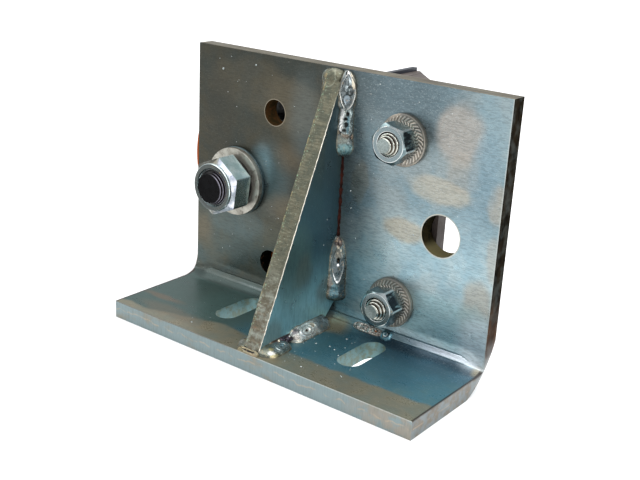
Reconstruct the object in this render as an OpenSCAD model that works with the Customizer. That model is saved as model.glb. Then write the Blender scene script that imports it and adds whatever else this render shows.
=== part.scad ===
// Gate guide bracket: a bent steel bracket that carries one large guide wheel
// and, beside it, a fixed guide shoe. A vertical gate rail runs between the two.
//
// X runs along the bracket's width, Y from its front to the wheel side, Z up.
// The origin is the middle of the base's slot pattern, on the base's underside.

/* [Bracket] */
// Width of the bent plate
plate_w = 200; // [180:1:260]
// Height of the upright over the base's underside
upright_h = 150; // [146:1:200]
// Depth of the base, from its front edge to the upright's back
base_depth = 76; // [72:1:90]
// Thickness of the bracket's plate
plate_t = 10; // [8:0.5:12]
// Inside radius of the bend
bend_in_r = 11; // [8:0.5:14]
// Outside radius of the bend, where the plate thins a little
bend_out_r = 25; // [18:0.5:28]

/* [Holes] */
// Distance from the base's front edge to the middle of its slots
slot_inset = 41; // [38:0.5:44]
// Width of a base slot
slot_w = 13.5; // [11:0.5:14]
// End to end length of a base slot
slot_len = 34; // [24:1:34]
// Distance between the left and right columns of slots and small holes
column_gap = 85; // [80:1:90]
// Distance between the lower and upper rows of small holes
row_gap = 88; // [80:1:90]
// Diameter of the small holes in the upright
small_hole_d = 14.5; // [13:0.5:15]
// Distance between the two large holes
axle_hole_gap = 136; // [132:1:140]
// Diameter of the large holes
axle_hole_d = 22; // [21:0.5:24]
// Height of the hole pattern's middle over the base's underside
pattern_z = 75; // [73:0.5:77]

/* [Gusset] */
// Thickness of the gusset
gusset_t = 10; // [8:0.5:12]
// Height of the gusset's blunt top over the base's underside
gusset_top_z = 144; // [130:1:146]
// Width of the gusset's blunt top
gusset_top_w = 5.5; // [4:0.5:8]
// Distance from the base's front edge to the gusset's toe
gusset_toe = 2; // [1:0.5:6]
// Leg of the corner cut off the gusset so that it clears the bend
gusset_notch = 14; // [12:0.5:18]
// Leg of the weld beads
weld_leg = 7; // [4:0.5:8]

/* [Wheel] */
// Outside diameter of the tyre
wheel_d = 125; // [120:1:126]
// Width of the tyre
tyre_w = 40; // [36:1:44]
// Thickness of the tyre
tyre_t = 12.5; // [8:0.5:14]
// Gap between the upright's back and the tyre
tyre_gap = 17.5; // [16:0.5:20]
// Length of the hub
hub_len = 50; // [48:1:52]

/* [Guide shoe] */
// Height of the shoe
shoe_h = 140; // [136:1:142]
// Clear gap between the tyre and the wear strip
rail_gap = 16.8; // [12:0.1:18]
// Distance that the shoe's leg reaches behind the upright
shoe_reach = 42; // [40:1:50]
// Thickness of the shoe's flange
flange_t = 8; // [6:0.5:10]
// Thickness of the shoe's leg and ribs
leg_t = 6; // [5:0.5:8]
// Thickness of the wear strip
strip_t = 3; // [3:0.5:4]

/* [Hidden] */
$fn = 96;

zinc = [0.56, 0.62, 0.63];
zinc_dark = [0.42, 0.44, 0.41];
bright = [0.75, 0.78, 0.80];
washer_grey = [0.60, 0.57, 0.53];
black_steel = [0.06, 0.06, 0.07];
weld_grey = [0.45, 0.48, 0.48];
mill_brown = [0.30, 0.27, 0.25];
tyre_orange = [0.62, 0.30, 0.15];
liner_black = [0.07, 0.08, 0.10];

// Places along Y, from the front of the bracket to the back
front_y = -slot_inset;
back_y = front_y + base_depth;
face_y = back_y - plate_t;

// Columns and rows of the upright's holes
column_x = column_gap / 2;
row_z = [pattern_z - row_gap / 2, pattern_z + row_gap / 2];
axle_x = -axle_hole_gap / 2;

// M20 axle hardware
axle_r = 10;
axle_len = 100;
axle_head_h = 12.5;
axle_flats = 30;
thread_fit = 0.02;
thin_washer_t = 1.6;
flat_washer_t = 3;
flat_washer_r = 19.7;
locknut_h = 18;
locknut_hex_h = 11;
locknut_collar_r = 13.7;
insert_r = 12.2;
insert_h = 3.5;
locknut_twist = 23;
nut_seat_y = face_y - thin_washer_t - flat_washer_t;
nut_front_y = nut_seat_y - locknut_h;
axle_end_y = nut_front_y - 2.4;
head_seat_y = axle_end_y + axle_len;
head_washer_t = 3;
head_washer_r = 18.5;

// Ball bearings: 20 mm bore, 47 mm outside, 14 mm wide
bearing_r = 23.5;
bearing_w = 14;
inner_land_r = 14.4;
outer_land_r = 19.2;
pitch_r = 16.75;
ball_r = 3.969;
groove_r = 4.12;
ball_play = 0.03;
ball_count = 8;
ring_t = 1.75;
ring_inset = 1.5;

// Wheel, placed by the tyre's near side
tyre_y = back_y + tyre_gap;
wheel_mid_y = tyre_y + tyre_w / 2;
wheel_r = wheel_d / 2;
rim_r = wheel_r - tyre_t;
rim_t = 6;
rim_w = tyre_w - 2;
web_t = 10;
web_fillet = 5;
tyre_edge_r = 4;
hub_r = 31;
hub_y = wheel_mid_y - hub_len / 2;
pocket_depth = ring_inset + ring_t + bearing_w;
shoulder_r = 20;
bearing_y = [hub_y + ring_inset + ring_t, hub_y + hub_len - pocket_depth];
ring_y = [hub_y + ring_inset, hub_y + hub_len - ring_inset - ring_t];
spacer_r = 14;

// Guide shoe
strip_x = axle_x + wheel_r + rail_gap;
leg_x = strip_x + strip_t;
leg_end_y = back_y + shoe_reach;
leg_tip = 2;
flange_w = 46;
flange_back_y = back_y + flange_t;
shoe_z = pattern_z - shoe_h / 2;
strip_rise = 1.8;
strip_start_y = back_y + 1;
strip_screw_r = 2.5;
strip_screw_head_r = 4.8;
strip_screw_y = back_y + 26;
strip_screw_z = [pattern_z - 45, pattern_z, pattern_z + 45];
rib_t = leg_t;
rib_line = leg_x + leg_tip + leg_end_y;

// M12 shoe hardware
shoe_bolt_r = 6;
shoe_bolt_len = 40;
shoe_bolt_head_h = 7.5;
shoe_flats = 19;
shoe_nut_h = 12;
shoe_nut_twist = [6, 47];
contact_washer_r = 13.5;
contact_washer_h = 3.2;
contact_washer_t = 2.4;
shoe_washer_r = 12;
shoe_washer_t = 2.5;
shoe_hole_r = 6.75;
shoe_nut_y = face_y - contact_washer_h;
// the bolts stand high in their clearance holes
shoe_bolt_lift = 1;
shoe_bolt_z = [for (z = row_z) z + shoe_bolt_lift];
shoe_head_y = flange_back_y + shoe_washer_t;

// ---- Shapes that repeat ----

// Children stand along +Z from the origin; this lays them along +Y at x, y, z
module along_y(x, y, z) {
    translate([x, y, z]) rotate([-90, 0, 0]) children();
}

// A 2D section in Y and Z, extruded from x0 to x1
module across_x(x0, x1) {
    translate([x0, 0, 0]) rotate([90, 0, 90]) linear_extrude(x1 - x0) children();
}

// A plate that lies flat, given as a 2D outline in X and Y, from z0 up
module flat_plate(z0, t) {
    translate([0, 0, z0]) linear_extrude(t) children();
}

module tube(r_out, r_in, h) {
    difference() {
        cylinder(r = r_out, h = h);
        translate([0, 0, -1]) cylinder(r = r_in, h = h + 2);
    }
}

// A hexagon prism with its corners cut at 30 degrees at the ends that are asked for
module hex_prism(flats, h, cut_low, cut_high) {
    corner_r = flats / sqrt(3);
    cut = (corner_r - flats * 0.475) * tan(30);
    low = cut_low ? cut : 0;
    high = cut_high ? cut : 0;
    intersection() {
        cylinder(r = corner_r, h = h, $fn = 6);
        rotate_extrude() polygon([
            [0, 0], [low > 0 ? flats * 0.475 : corner_r + 1, 0], [corner_r + (low > 0 ? 0 : 1), low],
            [corner_r + (high > 0 ? 0 : 1), h - high], [high > 0 ? flats * 0.475 : corner_r + 1, h], [0, h]
        ]);
    }
}

// A quarter-round bead that fills the corner between two faces at right angles
module bead_section(leg) {
    intersection() {
        circle(r = leg);
        square(leg);
    }
}

// ---- Bracket ----

module bent_section() {
    difference() {
        translate([front_y, 0]) square([base_depth, upright_h]);
        translate([back_y - bend_out_r, 0]) difference() {
            translate([0, -1]) square([bend_out_r + 1, bend_out_r + 1]);
            translate([0, bend_out_r]) circle(r = bend_out_r);
        }
        difference() {
            translate([front_y - 1, plate_t]) square([face_y - front_y + 1, upright_h]);
            translate([face_y - bend_in_r, plate_t]) difference() {
                translate([0, -1]) square([bend_in_r + 1, bend_in_r + 1]);
                translate([0, bend_in_r]) circle(r = bend_in_r);
            }
        }
    }
}

module base_slot(x) {
    end = (slot_len - slot_w) / 2;
    for (y = [-end, end]) translate([x, y, -1]) cylinder(d = slot_w, h = plate_t + bend_in_r);
    translate([x - slot_w / 2, -end, -1]) cube([slot_w, 2 * end, plate_t + bend_in_r]);
}

module upright_hole(x, z, d) {
    along_y(x, face_y - 1, z) cylinder(d = d, h = plate_t + 2);
}

module bracket_plate() {
    color(zinc) difference() {
        across_x(-plate_w / 2, plate_w / 2) bent_section();
        for (side = [-1, 1]) {
            base_slot(side * column_x);
            upright_hole(side * axle_hole_gap / 2, pattern_z, axle_hole_d);
            for (z = row_z) upright_hole(side * column_x, z, small_hole_d);
        }
    }
}

module gusset_plate() {
    toe_y = front_y + gusset_toe;
    color(zinc_dark) across_x(-gusset_t / 2, gusset_t / 2) polygon([
        [toe_y, plate_t], [face_y - gusset_top_w, gusset_top_z], [face_y, gusset_top_z],
        [face_y, plate_t + gusset_notch], [face_y - gusset_notch, plate_t]
    ]);
}

// Beads up the corner between gusset and upright, then along the base
module gusset_welds() {
    upright_beads = [[pattern_z + 31, gusset_top_z], [plate_t + gusset_notch, pattern_z - 18]];
    base_beads = [[front_y + 6, front_y + 29], [front_y + 34, face_y - gusset_notch]];
    color(weld_grey) for (side = [0, 1]) mirror([side, 0, 0]) {
        for (b = upright_beads)
            translate([gusset_t / 2, face_y, b[0]]) linear_extrude(b[1] - b[0])
                mirror([0, 1]) bead_section(weld_leg);
        for (b = base_beads)
            translate([gusset_t / 2, b[1], plate_t]) rotate([90, 0, 0]) linear_extrude(b[1] - b[0])
                bead_section(weld_leg);
    }
}

// A short bead laid in the bend, to the right of the gusset
module bend_weld() {
    bead_r = 4.6;
    color(weld_grey) across_x(22, 40) difference() {
        translate([face_y - 6.5, plate_t + 4.2]) circle(r = bead_r);
        bent_section();
    }
}

// ---- Axle ----

module axle_bolt() {
    tip = 1.7;
    color(black_steel) {
        along_y(axle_x, axle_end_y, pattern_z) rotate_extrude() polygon([
            [0, 0], [axle_r - tip, 0], [axle_r, tip], [axle_r, axle_len], [0, axle_len]
        ]);
        along_y(axle_x, head_seat_y, pattern_z) hex_prism(axle_flats, axle_head_h, false, true);
    }
}

// A hexagon with a round collar in front, which holds the locking insert
module axle_locknut() {
    lip_r = 10.8;
    lip_h = 1.2;
    color(bright) difference() {
        union() {
            along_y(axle_x, nut_front_y + locknut_h - locknut_hex_h, pattern_z)
                rotate([0, 0, -locknut_twist]) hex_prism(axle_flats, locknut_hex_h, true, true);
            along_y(axle_x, nut_front_y, pattern_z) cylinder(r = locknut_collar_r, h = locknut_h - 1);
        }
        along_y(axle_x, nut_front_y - 1, pattern_z) cylinder(r = axle_r + thread_fit, h = locknut_h + 2);
        along_y(axle_x, nut_front_y - 1, pattern_z) cylinder(r = lip_r, h = lip_h + 1.5);
        along_y(axle_x, nut_front_y + lip_h, pattern_z) cylinder(r = insert_r, h = insert_h);
    }
}

module locknut_insert() {
    color(liner_black) along_y(axle_x, nut_front_y + 1.2, pattern_z)
        tube(insert_r, axle_r + thread_fit, insert_h);
}

module axle_flat_washer() {
    color(washer_grey) along_y(axle_x, nut_seat_y, pattern_z) tube(flat_washer_r, 10.5, flat_washer_t);
}

module axle_thin_washer() {
    color(washer_grey) along_y(axle_x, face_y - thin_washer_t, pattern_z)
        tube(flat_washer_r + 0.2, 10.5, thin_washer_t);
}

module near_spacer() {
    color(bright) along_y(axle_x, back_y, pattern_z)
        tube(spacer_r, axle_r + thread_fit, bearing_y[0] - back_y);
}

module far_spacer() {
    start = bearing_y[1] + bearing_w;
    color(bright) along_y(axle_x, start, pattern_z)
        tube(spacer_r, axle_r + thread_fit, head_seat_y - head_washer_t - start);
}

module head_washer() {
    color(black_steel) along_y(axle_x, head_seat_y - head_washer_t, pattern_z)
        tube(head_washer_r, 10.5, head_washer_t);
}

// ---- Wheel ----

// Half of the core's section, from its middle plane out, as radius against half width
module core_half_section() {
    groove_low = hub_len / 2 - ring_inset - ring_t;
    difference() {
        union() {
            translate([rim_r - rim_t, 0]) square([rim_t, rim_w / 2]);
            translate([shoulder_r, 0]) square([rim_r - shoulder_r - 1, web_t / 2]);
            translate([shoulder_r, 0]) square([hub_r - shoulder_r, hub_len / 2]);
            translate([hub_r, web_t / 2]) difference() {
                square(web_fillet);
                translate([web_fillet, web_fillet]) circle(r = web_fillet);
            }
            translate([rim_r - rim_t, web_t / 2]) mirror([1, 0]) difference() {
                square(web_fillet);
                translate([web_fillet, web_fillet]) circle(r = web_fillet);
            }
        }
        translate([0, hub_len / 2 - pocket_depth]) square([bearing_r, pocket_depth + 1]);
        translate([0, groove_low]) square([bearing_r + 1.3, ring_t]);
    }
}

module wheel_core() {
    color(black_steel) along_y(axle_x, wheel_mid_y, pattern_z) rotate_extrude() union() {
        core_half_section();
        mirror([0, 1]) core_half_section();
    }
}

module wheel_tyre() {
    e = tyre_edge_r;
    color(tyre_orange) along_y(axle_x, tyre_y, pattern_z) rotate_extrude() union() {
        translate([rim_r, 0]) square([tyre_t - e, tyre_w]);
        translate([rim_r, e]) square([tyre_t, tyre_w - 2 * e]);
        for (h = [e, tyre_w - e]) translate([wheel_r - e, h]) circle(r = e);
    }
}

// ---- Bearings ----

module at_bearings() {
    for (y = bearing_y) along_y(axle_x, y, pattern_z) children();
}

module bearing_outer_rings() {
    groove_mid = pitch_r + ball_r + ball_play - groove_r;
    color(bright) at_bearings() rotate_extrude() difference() {
        translate([outer_land_r, 0]) square([bearing_r - outer_land_r, bearing_w]);
        translate([groove_mid, bearing_w / 2]) circle(r = groove_r);
    }
}

module bearing_inner_rings() {
    groove_mid = pitch_r - ball_r - ball_play + groove_r;
    bore_r = axle_r + thread_fit;
    color(bright) at_bearings() rotate_extrude() difference() {
        translate([bore_r, 0]) square([inner_land_r - bore_r, bearing_w]);
        translate([groove_mid, bearing_w / 2]) circle(r = groove_r);
    }
}

module each_ball() {
    for (i = [0:ball_count - 1]) rotate([0, 0, i * 360 / ball_count])
        translate([pitch_r, 0, bearing_w / 2]) children();
}

module bearing_balls() {
    color(bright) at_bearings() each_ball() sphere(r = ball_r, $fn = 48);
}

module bearing_cages() {
    cage_w = 9;
    color(zinc_dark) at_bearings() difference() {
        translate([0, 0, (bearing_w - cage_w) / 2]) tube(pitch_r + 1.1, pitch_r - 1.1, cage_w);
        each_ball() rotate([0, 90, 0]) cylinder(r = ball_r + 0.06, h = 4, center = true, $fn = 48);
    }
}

module bearing_shields() {
    shield_t = 0.8;
    color(liner_black) at_bearings() for (z = [0.4, bearing_w - 0.4 - shield_t])
        translate([0, 0, z]) tube(outer_land_r - 0.05, inner_land_r + 0.4, shield_t);
}

module bearing_spacer() {
    start = bearing_y[0] + bearing_w;
    color(zinc) along_y(axle_x, start, pattern_z)
        tube(spacer_r - 0.5, axle_r + thread_fit, bearing_y[1] - start);
}

// Circlips that hold the bearings in the hub, open at the top
module retaining_rings() {
    color(black_steel) for (y = ring_y) along_y(axle_x, y, pattern_z) difference() {
        tube(bearing_r + 1.2, bearing_r - 2.8, ring_t);
        translate([-4, -bearing_r - 3, -1]) cube([8, 8, ring_t + 2]);
    }
}

// ---- Guide shoe ----

module shoe_flange() {
    color(mill_brown) difference() {
        translate([leg_x, back_y, shoe_z]) cube([flange_w, flange_t, shoe_h]);
        for (z = shoe_bolt_z) along_y(column_x, back_y - 1, z) cylinder(r = shoe_hole_r, h = flange_t + 2);
    }
}

module shoe_leg() {
    color(mill_brown) difference() {
        flat_plate(shoe_z, shoe_h) polygon([
            [leg_x, flange_back_y], [leg_x, leg_end_y], [leg_x + leg_tip, leg_end_y],
            [leg_x + leg_t, rib_line - leg_x - leg_t], [leg_x + leg_t, flange_back_y]
        ]);
        for (z = strip_screw_z) translate([leg_x - 1, strip_screw_y, z]) rotate([0, 90, 0])
            cylinder(r = strip_screw_r + thread_fit, h = leg_t + 2);
    }
}

module shoe_ribs() {
    color(mill_brown) for (z = [shoe_z, shoe_z + shoe_h - rib_t]) flat_plate(z, rib_t) polygon([
        [leg_x + leg_t, flange_back_y], [leg_x + leg_t, rib_line - leg_x - leg_t],
        [rib_line - flange_back_y, flange_back_y]
    ]);
}

// One bead up the corner between the leg and the flange
module shoe_welds() {
    bead = 4;
    rib_gap = shoe_h - 2 * rib_t;
    color(weld_grey) translate([leg_x + leg_t, flange_back_y, shoe_z + rib_t + 12])
        linear_extrude(rib_gap - 24) bead_section(bead);
}

module wear_strip() {
    color(liner_black) difference() {
        translate([strip_x, strip_start_y, shoe_z - strip_rise])
            cube([strip_t, leg_end_y - strip_start_y, shoe_h + 2 * strip_rise]);
        for (z = strip_screw_z) translate([strip_x, strip_screw_y, z]) rotate([0, 90, 0])
            screw_shape(0.05, strip_t + 1);
    }
}

// A countersunk screw along +Z, its flat head just below the start, made fatter by grow
module screw_shape(grow, length) {
    head_h = 2.3;
    translate([0, 0, -0.5]) rotate_extrude() polygon([
        [0, grow > 0 ? 0 : 0.8], [strip_screw_head_r + grow, grow > 0 ? 0 : 0.8],
        [strip_screw_head_r + grow, 0.9], [strip_screw_r + grow, 0.9 + head_h],
        [strip_screw_r + grow, length + 0.5], [0, length + 0.5]
    ]);
}

module wear_strip_screws() {
    color(bright) for (z = strip_screw_z) translate([strip_x, strip_screw_y, z])
        rotate([0, 90, 0]) screw_shape(0, strip_t + leg_t);
}

module shoe_bolts() {
    tip = 1;
    color(bright) for (z = shoe_bolt_z) {
        along_y(column_x, shoe_head_y - shoe_bolt_len, z) rotate_extrude() polygon([
            [0, 0], [shoe_bolt_r - tip, 0], [shoe_bolt_r, tip], [shoe_bolt_r, shoe_bolt_len],
            [0, shoe_bolt_len]
        ]);
        along_y(column_x, shoe_head_y, z) hex_prism(shoe_flats, shoe_bolt_head_h, false, true);
    }
}

// Coned washers: the outer edge bears on the plate, the inner edge on the nut
module contact_washers() {
    cone = contact_washer_h - contact_washer_t;
    edge = 0.4;
    color(washer_grey) for (z = shoe_bolt_z) along_y(column_x, shoe_nut_y, z)
        rotate_extrude() polygon([
            [6.5, 0], [10, 0], [contact_washer_r, cone], [contact_washer_r, contact_washer_h - edge],
            [contact_washer_r - 2.4, contact_washer_h], [contact_washer_r - 4, contact_washer_h],
            [6.5, contact_washer_t]
        ]);
}

module shoe_nuts() {
    color(bright) for (i = [0, 1]) along_y(column_x, shoe_nut_y - shoe_nut_h, shoe_bolt_z[i])
        difference() {
            rotate([0, 0, -shoe_nut_twist[i]]) hex_prism(shoe_flats, shoe_nut_h, true, true);
            translate([0, 0, -1]) cylinder(r = shoe_bolt_r + thread_fit, h = shoe_nut_h + 2);
        }
}

module shoe_head_washers() {
    color(washer_grey) for (z = shoe_bolt_z) along_y(column_x, flange_back_y, z)
        tube(shoe_washer_r, 6.5, shoe_washer_t);
}

bracket_plate();
gusset_plate();
gusset_welds();
bend_weld();
axle_bolt();
axle_locknut();
locknut_insert();
axle_flat_washer();
axle_thin_washer();
near_spacer();
far_spacer();
head_washer();
wheel_core();
wheel_tyre();
bearing_outer_rings();
bearing_inner_rings();
bearing_balls();
bearing_cages();
bearing_shields();
bearing_spacer();
retaining_rings();
shoe_flange();
shoe_leg();
shoe_ribs();
shoe_welds();
wear_strip();
wear_strip_screws();
shoe_bolts();
contact_washers();
shoe_nuts();
shoe_head_washers();
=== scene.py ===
"""Looks of the gate guide wheel on its bent bracket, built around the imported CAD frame.

Every place is in metres in the row frame: X across the plate, Y from the front edge back to the
wheel, Z up. Sizes are written in millimetres times MM, and places are worked out from the frame.
"""

import math
import random

import bmesh
import bpy
import numpy as np
from mathutils import Matrix, Vector


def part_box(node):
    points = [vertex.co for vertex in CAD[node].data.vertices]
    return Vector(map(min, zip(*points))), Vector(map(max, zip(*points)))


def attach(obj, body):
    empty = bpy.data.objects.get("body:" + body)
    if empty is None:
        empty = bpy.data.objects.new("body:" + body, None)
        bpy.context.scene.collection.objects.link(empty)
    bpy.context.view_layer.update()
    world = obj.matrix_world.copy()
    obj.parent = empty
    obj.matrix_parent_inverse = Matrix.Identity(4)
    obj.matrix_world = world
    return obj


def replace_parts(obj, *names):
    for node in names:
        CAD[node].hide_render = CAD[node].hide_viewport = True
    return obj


MM = 0.001
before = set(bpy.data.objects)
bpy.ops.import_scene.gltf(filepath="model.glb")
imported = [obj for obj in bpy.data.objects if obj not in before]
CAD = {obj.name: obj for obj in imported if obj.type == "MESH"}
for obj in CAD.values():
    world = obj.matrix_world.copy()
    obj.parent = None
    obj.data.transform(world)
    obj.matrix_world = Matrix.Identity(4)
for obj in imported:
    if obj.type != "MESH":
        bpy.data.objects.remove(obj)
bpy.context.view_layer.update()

# ---------------------------------------------------------------- places, worked out from the frame


def lo(node):
    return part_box(node)[0]


def hi(node):
    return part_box(node)[1]


def mid(node):
    low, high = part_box(node)
    return (low + high) / 2


HALF_W = hi("bracket_plate").x
FRONT_Y = lo("bracket_plate").y
BACK_Y = hi("bracket_plate").y
TOP_Z = hi("bracket_plate").z
FACE_Y = hi("contact_washers").y
PLATE_T = BACK_Y - FACE_Y
GUSSET_X = hi("gusset_plate").x
GUSSET_TOP = hi("gusset_plate").z
GUSSET_TOE = lo("gusset_plate").y
BEND_IN_R = 11 * MM
BEND_OUT_R = 25 * MM
AXLE = mid("axle_flat_washer")
AXLE_X, AXLE_Z = AXLE.x, AXLE.z
SHOE_BOLT_X = mid("contact_washers").x
SHOE_BOLT_Z = (
    lo("contact_washers").z + (hi("contact_washers").x - lo("contact_washers").x) / 2,
    hi("contact_washers").z - (hi("contact_washers").x - lo("contact_washers").x) / 2,
)
HOLE_Z = tuple(AXLE_Z + side * (SHOE_BOLT_Z[1] - SHOE_BOLT_Z[0]) / 2 for side in (-1, 1))
SMALL_HOLE_R = 7.25 * MM
LARGE_HOLE_R = 11 * MM
SLOT_R = 6.75 * MM
SLOT_LEN = 34 * MM


# ---------------------------------------------------------------- meshes


def linked(name, data):
    """A new object in the scene."""
    obj = bpy.data.objects.new(name, data)
    bpy.context.scene.collection.objects.link(obj)
    return obj


def new_object(name, verts, faces, slot=None, materials=(), smooth=34):
    """A mesh object that rides on the bracket. Edges sharper than smooth degrees stay sharp."""
    mesh = bpy.data.meshes.new(name)
    mesh.from_pydata([tuple(v) for v in verts], [], [tuple(f) for f in faces])
    mesh.validate()
    obj = linked(name, mesh)
    for m in materials:
        mesh.materials.append(m)
    shade(obj, smooth)
    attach(obj, "bracket")
    return obj


def shade(obj, degrees):
    mesh = obj.data
    mesh.polygons.foreach_set("use_smooth", np.ones(len(mesh.polygons), bool))
    mesh.set_sharp_from_angle(angle=math.radians(degrees))
    mesh.update()


def face_outwards(mesh, merge=False):
    """Turns a mesh's faces outwards. With merge, points at one place become one first."""
    bm = bmesh.new()
    bm.from_mesh(mesh)
    if merge:
        bmesh.ops.remove_doubles(bm, verts=bm.verts, dist=1e-7)
    bmesh.ops.recalc_face_normals(bm, faces=bm.faces)
    bm.to_mesh(mesh)
    bm.free()


def grid_faces(nu, nv, loop_u=False, loop_v=False):
    """Quads of a grid with nu columns and nv rows, whose vertex (i, j) is i * nv + j."""
    out = []
    for i in range(nu if loop_u else nu - 1):
        for j in range(nv if loop_v else nv - 1):
            a, b = i * nv, (i + 1) % nu * nv
            k = (j + 1) % nv
            out.append((a + j, b + j, b + k, a + k))
    return out


def turned(name, x, z, steps, profile, closed=True, twist=0.0, **where):
    """Turns a profile about an axis along Y. profile(angle) gives points (radius, y) or (radius, y, relief),
    and the mesh keeps the relief for its paint. An open profile gets a flat face at its last point."""
    verts, relief = [], []
    for i in range(steps):
        a = 2 * math.pi * i / steps + twist
        for r, y, *high in profile(a):
            verts.append((x + r * math.cos(a), y, z + r * math.sin(a)))
            relief += high
    per = len(verts) // steps
    faces = grid_faces(steps, per, True, closed)
    if not closed:
        faces.append(tuple(i * per + per - 1 for i in range(steps)))
    obj = new_object(name, verts, faces, **where)
    if relief:
        obj.data.attributes.new("relief", "FLOAT", "POINT").data.foreach_set("value", relief)
    return obj


def rounded(points, radius):
    """A closed outline with each corner rounded."""
    steps = 3
    out = []
    for i, at in enumerate(points):
        p = Vector(at)
        a, b = Vector(points[i - 1]) - p, Vector(points[(i + 1) % len(points)]) - p
        reach = min(radius / math.tan(a.angle(b) / 2), a.length * 0.45, b.length * 0.45)
        p0, p1 = p + a.normalized() * reach, p + b.normalized() * reach
        for k in range(steps + 1):
            t = k / steps
            out.append(tuple((1 - t) ** 2 * p0 + 2 * t * (1 - t) * p + t * t * p1))
    return out


def bevel(obj, width, angle):
    m = obj.modifiers.new("bevel", "BEVEL")
    m.width = width
    m.segments = 2
    m.limit_method = "ANGLE"
    m.angle_limit = math.radians(angle)
    return m


def bevelled(node, width):
    """Rounds the hard edges of a CAD node with modifiers, which leave its own mesh alone."""
    obj = CAD[node]
    obj.modifiers.new("weld", "WELD").merge_threshold = 1e-6
    flat = obj.modifiers.new("flat_faces", "DECIMATE")
    flat.decimate_type = "DISSOLVE"
    flat.angle_limit = math.radians(0.5)
    edge = bevel(obj, width, 35)
    edge.use_clamp_overlap = True
    edge.harden_normals = True


def smoothstep(a, b, x):
    t = np.clip((x - a) / (b - a), 0, 1)
    return t * t * (3 - 2 * t)


def soft_noise(shape, cells, seed):
    """Smooth random values from -1 to 1 on a grid of that shape, with that many cells each way."""
    rng = np.random.default_rng(seed)
    values = rng.uniform(-1, 1, (cells[0] + 2, cells[1] + 2))
    u = np.linspace(0, cells[0], shape[0])
    v = np.linspace(0, cells[1], shape[1])
    iu, iv = np.minimum(u.astype(int), cells[0]), np.minimum(v.astype(int), cells[1])
    fu, fv = smoothstep(0, 1, u - iu)[:, None], smoothstep(0, 1, v - iv)[None, :]
    a, b = values[np.ix_(iu, iv)], values[np.ix_(iu + 1, iv)]
    c, d = values[np.ix_(iu, iv + 1)], values[np.ix_(iu + 1, iv + 1)]
    return (a * (1 - fu) + b * fu) * (1 - fv) + (c * (1 - fu) + d * fu) * fv


# ---------------------------------------------------------------- materials


def colour(r, g, b):
    """A colour as seen on a screen, 0 to 255, in the renderer's linear units."""
    def line(c):
        c /= 255
        return c / 12.92 if c <= 0.04045 else ((c + 0.055) / 1.055) ** 2.4

    return (line(r), line(g), line(b), 1.0)


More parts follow.
